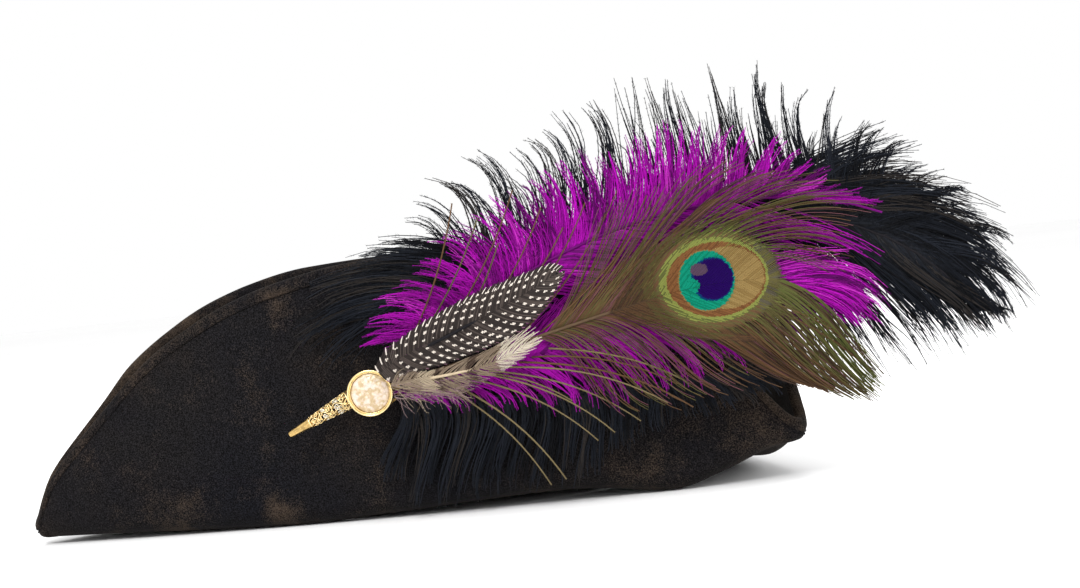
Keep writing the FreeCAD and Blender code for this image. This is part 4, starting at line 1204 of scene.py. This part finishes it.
stone = Nodes("mottled_cabochon", (0.82, 0.70, 0.48), 0.22, Coat_Weight=0.5, Coat_Roughness=0.08)
warp = stone.add("ShaderNodeVectorMath")
warp.operation = "MULTIPLY_ADD"
warp_noise = stone.add("ShaderNodeTexNoise", Scale=420.0, Detail=3.0)
stone.tree.links.new(warp_noise.outputs["Color"], warp.inputs[0])
warp.inputs[1].default_value = (0.0016, 0.0016, 0.0016)
stone.tree.links.new(stone.where, warp.inputs[2])
flake = stone.add("ShaderNodeTexVoronoi", Scale=560.0, Randomness=1.0)
stone.tree.links.new(warp.outputs[0], flake.inputs["Vector"])
chip = stone.math("ADD", flake.outputs["Distance"], stone.math("MULTIPLY", stone.noise(900.0, 4.0), 0.25))
base_tone = stone.ramp(
    chip, (0.16, (0.78, 0.70, 0.54)), (0.42, (0.72, 0.60, 0.42)), (0.60, (0.52, 0.38, 0.21))
)
blush = stone.ramp(stone.noise(330.0, 3.0), (0.45, 0.0), (0.62, 1.0))
stone.color(stone.mix(blush, base_tone, (0.74, 0.61, 0.52)))
stone.rough(stone.ramp(chip, (0.2, 0.18), (0.6, 0.42)))
stone.bump(chip, 0.35, 0.0004)


def spray_lathe(name, profile, material, turns=96, ripple_count=0, ripple_depth=0.0):
    """Ring or disc turned about the medallion's axis; profile of (radius, outward, rippled)."""
    angle = np.linspace(0, 2 * math.pi, turns + 1)[:-1]
    rings = []
    for radius, d, rippled in profile:
        r = radius + rippled * ripple_depth * np.cos(ripple_count * angle)
        rings.append(np.column_stack([r * np.cos(angle), np.full(turns, d), r * np.sin(angle)]))
    return ring_solid(name, in_hat(rings), material)


def capped_solid(name, rings, poles, material):
    """Closed solid of the spray: rings of equal count, with a pole beyond the first and the last."""
    columns = len(rings[0])
    verts = np.concatenate([np.reshape(rings, (-1, 3)), poles])
    faces = [
        grid_faces(len(rings), columns, wrap_columns=True),
        fan(0, len(verts) - 2, columns, flip=True),
        fan(len(rings) - 1, len(verts) - 1, columns),
    ]
    return mesh_object(name, in_hat(verts), faces, material)


BASE, TALLEST = 13.9, 17.5
rim = [(0.4, BASE, 0), (9.6, BASE, 0), (10.3, BASE + 0.25, 0), (10.65, BASE + 0.8, 1), (10.7, BASE + 1.8, 1),
       (10.65, TALLEST - 0.8, 1)]
for a in np.radians(np.linspace(0, 180, 9)):
    rim.append((10.2 + 0.48 * math.cos(a), TALLEST - 0.5 + 0.48 * math.sin(a), 0))
rim += [(9.68, TALLEST - 0.9, 0)]
for a in np.radians(np.linspace(20, 180, 7)):
    rim.append((9.36 + 0.26 * math.cos(a), TALLEST - 0.95 + 0.25 * math.sin(a), 0))
rim += [(9.06, TALLEST - 1.5, 0), (9.06, BASE + 1.02, 0), (0.4, BASE + 1.02, 0)]
bezel = spray_lathe("medallion_rim", rim, gold_bright, 288, 72, 0.10)
place(bezel, "plume_spray", "gold_metal", "medallion_bezel")

# Cabochon: low crown with a lightly lumpy surface, like a hand-cast stone.
STONE_RADIUS, SEAT, STONE_COLUMNS = 9.0, BASE + 1.05, 120
angle = np.linspace(0, 2 * math.pi, STONE_COLUMNS + 1)[:-1]
under = np.full(STONE_COLUMNS, SEAT)
rings = [np.column_stack([STONE_RADIUS * np.cos(angle), under, STONE_RADIUS * np.sin(angle)])]
for share in np.linspace(1.0, 0.04, 26):
    r = STONE_RADIUS * share
    crown = 1.9 + 1.9 * math.sqrt(max(0.0, 1 - share**2))
    x, z = r * np.cos(angle), r * np.sin(angle)
    lumps = np.sin(x * 1.9 + 1.3 * np.sin(z * 1.2)) * np.sin(z * 2.1 + 1.1 * np.sin(x * 1.4 + 2.0))
    lumps = lumps * 0.20 * min(1.0, (1 - share) * 5)
    rings.append(np.column_stack([x, SEAT + crown - 1.0 + lumps, z]))
gem = capped_solid("medallion_stone", rings, [[0, SEAT, 0], [0, SEAT + 2.8, 0]], stone.material)
place(gem, "plume_spray", "cabochon", "medallion_cabochon")

# Ferrule: a solid narrow tip that opens into a cage of scrolled wire.
mouth = np.array([-10.5, 9.5, -2.0])
slope = math.atan2(14.0, 30.0)
axis_way = np.array([math.cos(slope), 0.0, math.sin(slope)])
side_way = np.array([-math.sin(slope), 0.0, math.cos(slope)])
LONG, END_R, MOUTH_R = 33.6, 1.25, 4.2


def on_cone(length, turn, lift=0.0):
    """Place on the ferrule's cone: length from its closed end, turn about its axis."""
    length, turn = np.asarray(length, float), np.asarray(turn, float)
    r = END_R + (MOUTH_R - END_R) * length / LONG + lift
    centre = mouth + axis_way * (length - LONG)[..., None]
    outward = np.array([0.0, 1.0, 0.0]) * (r * np.sin(turn))[..., None]
    return centre + side_way * (r * np.cos(turn))[..., None] + outward


cage = Fibres()


def wire(length, turn, radius, lift=0.0, tone=0):
    line = on_cone(length, turn, lift)
    n = len(line)
    radii = np.full(n, radius)
    radii[0] = radii[-1] = radius * 0.6
    cage.strands(line[None], radii[None], np.array([tone]), sides=7)


for at, thick in ((11.5, 0.40), (17.6, 0.30), (24.0, 0.30), (32.9, 0.48)):
    turn = np.linspace(0, 2 * math.pi * 1.02, 60)
    wire(np.full(60, at), turn, thick)
for low, high, count in ((11.8, 17.4, 5), (17.9, 23.8, 6), (24.3, 32.5, 7)):
    for index in range(count):
        at = 2 * math.pi * (index + 0.5 * (low > 15)) / count
        width = 2 * math.pi / count
        t = np.linspace(0, 1, 40)
        curl = 2.6 * math.pi * (t - 0.5)
        wire(low + (high - low) * t, at + width * 0.34 * np.sin(curl * 0.77), 0.27, 0.1)
        for part, sense in ((0.30, 1), (0.70, -1)):
            spin = np.linspace(0, 3.4 * math.pi, 36)
            size = (high - low) * 0.17 * (1 - 0.72 * spin / spin[-1])
            radius_here = END_R + (MOUTH_R - END_R) * (low + (high - low) * part) / LONG
            wire(low + (high - low) * part + size * np.cos(spin * sense),
                 at + width * 0.28 * sense + size * np.sin(spin * sense) / radius_here, 0.22, 0.15,
                 int(low > 15 and sense > 0))
obj = cage.build("ferrule_scroll_cage", [gold_bright, silvery])
place(obj, "plume_spray", "gold_metal")
TIP_COLUMNS = 48
TIP_RINGS = [
    # length from the closed end, lift off the cone
    (0.0, -0.35), (0.0, -0.1), (0.35, 0.05), (1.2, 0.1), (4.0, 0.0), (8.0, 0.05), (10.6, 0.1), (11.4, 0.35),
    (12.0, 0.2), (12.0, -0.5),
]
angle = np.linspace(0, 2 * math.pi, TIP_COLUMNS + 1)[:-1]
rings = []
for length, lift in TIP_RINGS:
    flute = 0.10 * np.cos(8 * angle) if 1.0 < length < 11 else 0.0
    rings.append(on_cone(np.full(TIP_COLUMNS, length), angle, lift + flute))
tip_poles = [mouth - axis_way * LONG, mouth - axis_way * (LONG - 11.9)]
tip = capped_solid("ferrule_solid_tip", rings, tip_poles, gold)
place(tip, "plume_spray", "gold_metal", "quill_ferrule")

# Carried-over parts of the spray get their own finishes.
quill_tones = {}
for key, low, high in (
    ("cream", (0.36, 0.27, 0.17), (0.60, 0.50, 0.36)),
    ("bronze", (0.060, 0.036, 0.020), (0.125, 0.082, 0.048)),
    ("purple", (0.080, 0.001, 0.085), (0.160, 0.002, 0.165)),
    ("black", (0.004, 0.004, 0.006), (0.016, 0.014, 0.016)),
):
    n = Nodes("quill_" + key, low, 0.6)
    n.shader.inputs["Specular IOR Level"].default_value = 0.1
    streak = n.add("ShaderNodeMapping", Scale=(90.0, 90.0, 900.0))
    n.tree.links.new(n.where, streak.inputs["Vector"])
    n.color(n.ramp(n.noise(4.0, 5.0, 0.7, streak.outputs["Vector"]), (0.3, low), (0.75, high)))
    n.rough(n.ramp(n.noise(300.0), (0.3, 0.5), (0.7, 0.75)))
    quill_tones[key] = n.material
glue = Nodes("clear_glue", (0.46, 0.38, 0.26), 0.3, Coat_Weight=0.4)
glue.mottle((0.34, 0.27, 0.17), (0.55, 0.47, 0.34), 350.0, 3.0)
glue.bump(glue.noise(500.0), 0.3, 0.0004)
FINISH = {
    "black_plume_quill": quill_tones["black"], "black_lower_plume_quill": quill_tones["black"],
    "purple_plume_quill": quill_tones["purple"], "purple_lower_plume_quill": quill_tones["purple"],
    "peacock_quill": quill_tones["bronze"], "guinea_quill": quill_tones["black"],
    "barred_quill": quill_tones["cream"], "glue_pad": glue.material, "spray_back_plate": gold,
    "pin_hinge_ears": gold, "pin_hinge_rivet": steel, "pin_catch": gold, "pin_stem": steel,
    "brim_edge_wire": steel,
}
for node, finish in FINISH.items():
    for slot_here in bpy.data.objects[node].material_slots:
        slot_here.material = finish

# ---------------------------------------------------------------- hat: lining and sweatband
satin = Nodes("lining_satin", (0.012, 0.011, 0.013), 0.38, Sheen_Weight=0.2)
weave = satin.add("ShaderNodeTexWave", Scale=1500.0, Distortion=1.0, Detail=1.0)
satin.tree.links.new(satin.where, weave.inputs["Vector"])
satin.mottle((0.008, 0.007, 0.009), (0.024, 0.021, 0.025), 60.0, 4.0)
satin.rough(satin.ramp(satin.noise(25.0), (0.3, 0.32), (0.7, 0.5)))
satin.bump(weave.outputs["Fac"], 0.12, 0.0003)
leather = Nodes("sweatband_leather", (0.05, 0.03, 0.02), 0.5)
grain = leather.add("ShaderNodeTexVoronoi", Scale=900.0)
leather.tree.links.new(leather.where, grain.inputs["Vector"])
leather.mottle((0.022, 0.013, 0.009), (0.060, 0.036, 0.024), 45.0, 5.0)
leather.rough(leather.ramp(leather.noise(80.0), (0.3, 0.42), (0.7, 0.62)))
leather.bump(grain.outputs["Distance"], 0.35, 0.0004)
INNER, LINING, LINING_DOME = 2.5 + 0.06, 0.6, 15.3
levels = np.linspace(OPENING_LEVEL + 2, WALL_TOP, 24)
angles = np.linspace(0, 2 * math.pi, 361)[:-1]


def narrowing(z):
    """Scale of the crown's oval at a level."""
    return 1 + (TAPER - 1) * z / WALL_TOP


def pleats(z):
    """Depth of the lining's pleats round a level, shallow at the crown's foot."""
    wave = np.cos(48 * angles + 0.6 * np.sin(5 * angles) + z * 0.01)
    return 0.28 * (0.25 + 0.75 * z / WALL_TOP) * (1 + wave)


outer_rings = [oval_points(INNER, narrowing(z), z, angles, -pleats(z)) for z in levels]
inner_rings = [oval_points(INNER + LINING, narrowing(z), z, angles, -pleats(z)) for z in levels]
for phi in np.linspace(0.08, math.pi / 2, 16)[:-1]:
    for rings, more in ((outer_rings, 0.0), (inner_rings, LINING)):
        pleat = pleats(WALL_TOP) * math.cos(phi) ** 2
        a = (OPENING[0] * TAPER - 2.62 - more) * math.cos(phi) - pleat
        b = (OPENING[1] * TAPER - 2.62 - more) * math.cos(phi) - pleat
        z = WALL_TOP + (LINING_DOME - more) * math.sin(phi)
        rings.append(np.column_stack([a * np.cos(angles), b * np.sin(angles), np.full(len(angles), z)]))
poles = [[0, 0, WALL_TOP + LINING_DOME], [0, 0, WALL_TOP + LINING_DOME - LINING]]
lining = thin_cap("crown_lining_cloth", outer_rings, inner_rings, poles, satin.material)
place(lining, "hat", "lining", "crown_lining")

BAND_FOOT, BAND_TOP = 10.2, 41.0


def band_share(z):
    return math.sin((z - BAND_FOOT) / (BAND_TOP - BAND_FOOT) * math.pi)


band_rings_out, band_rings_in = [], []
for z in np.linspace(BAND_FOOT, BAND_TOP, 14):
    band_rings_out.append(oval_points(3.55, narrowing(z), z, angles, 0.0))
    band_rings_in.append(oval_points(4.75, narrowing(z), z, angles, -0.25 * band_share(z)))
band_piece = ring_solid("sweatband_strip", band_rings_out + band_rings_in[::-1], leather.material)
place(band_piece, "hat", "sweatband", "sweatband")
thread_tan = Nodes("sweatband_thread", (0.10, 0.07, 0.05), 0.6)
thread_tan.mottle((0.06, 0.04, 0.03), (0.14, 0.10, 0.07), 900.0)
for z in (12.4, 38.6):
    line = oval_points(4.95 + 0.2 * band_share(z), narrowing(z), z, angles)
    obj = stitch_mesh("sweatband_stitches_%d" % z, line, 2.4, 1.3, 0.25, thread_tan.material)
    place(obj, "hat", "sweatband")

# ---------------------------------------------------------------- camera, light and floor
camera_data = bpy.data.cameras.new("camera")
camera_data.lens = 69.08
camera_data.sensor_width = 36.0
camera_data.clip_start, camera_data.clip_end = 0.05, 20
camera = bpy.data.objects.new("camera", camera_data)
bpy.context.scene.collection.objects.link(camera)
right = Vector((0.965796, -0.237879, -0.103207))
ahead = Vector((0.236566, 0.971295, -0.024958))
over = right.cross(ahead)
camera.matrix_world = Matrix.Translation(Vector((-0.20752, -1.03632, 0.12105))) @ Matrix(
    (right, over, -ahead)
).transposed().to_4x4()
bpy.context.scene.camera = camera

floor_material = Nodes("floor_paint", (0.86, 0.86, 0.86), 0.9)
floor_material.mottle((0.965, 0.965, 0.965), (0.985, 0.985, 0.985), 1.2, 2.0)
WIDE, FLOOR_LEVEL = 6000, -0.3
corners = [(x * WIDE, y * WIDE, FLOOR_LEVEL) for x, y in ((-1, -1), (1, -1), (1, 1), (-1, 1))]
floor = mesh_object("floor", corners, np.array([[0, 1, 2, 3]]), floor_material.material)

world = bpy.data.worlds.new("studio") if bpy.context.scene.world is None else bpy.context.scene.world
bpy.context.scene.world = world
world.use_nodes = True
world.node_tree.nodes["Background"].inputs["Color"].default_value = (1.0, 1.0, 1.0, 1)
world.node_tree.nodes["Background"].inputs["Strength"].default_value = 1.0


def soft_light(name, location, target, power, size):
    data = bpy.data.lights.new(name, "AREA")
    data.energy = power
    data.size = size
    data.shape = "DISK"
    obj = bpy.data.objects.new(name, data)
    bpy.context.scene.collection.objects.link(obj)
    obj.location = location
    direction = Vector(target) - Vector(location)
    obj.rotation_mode = "QUATERNION"
    obj.rotation_quaternion = direction.to_track_quat("-Z", "Y")


soft_light("key", (-0.9, -1.3, 1.5), (0, -0.1, 0.08), 26, 0.9)
soft_light("fill", (1.3, -1.1, 0.9), (0, -0.1, 0.08), 12, 1.0)
soft_light("back_rim", (0.3, 1.3, 1.2), (0, 0, 0.1), 12, 0.9)
bpy.context.scene.view_settings.view_transform = "Standard"
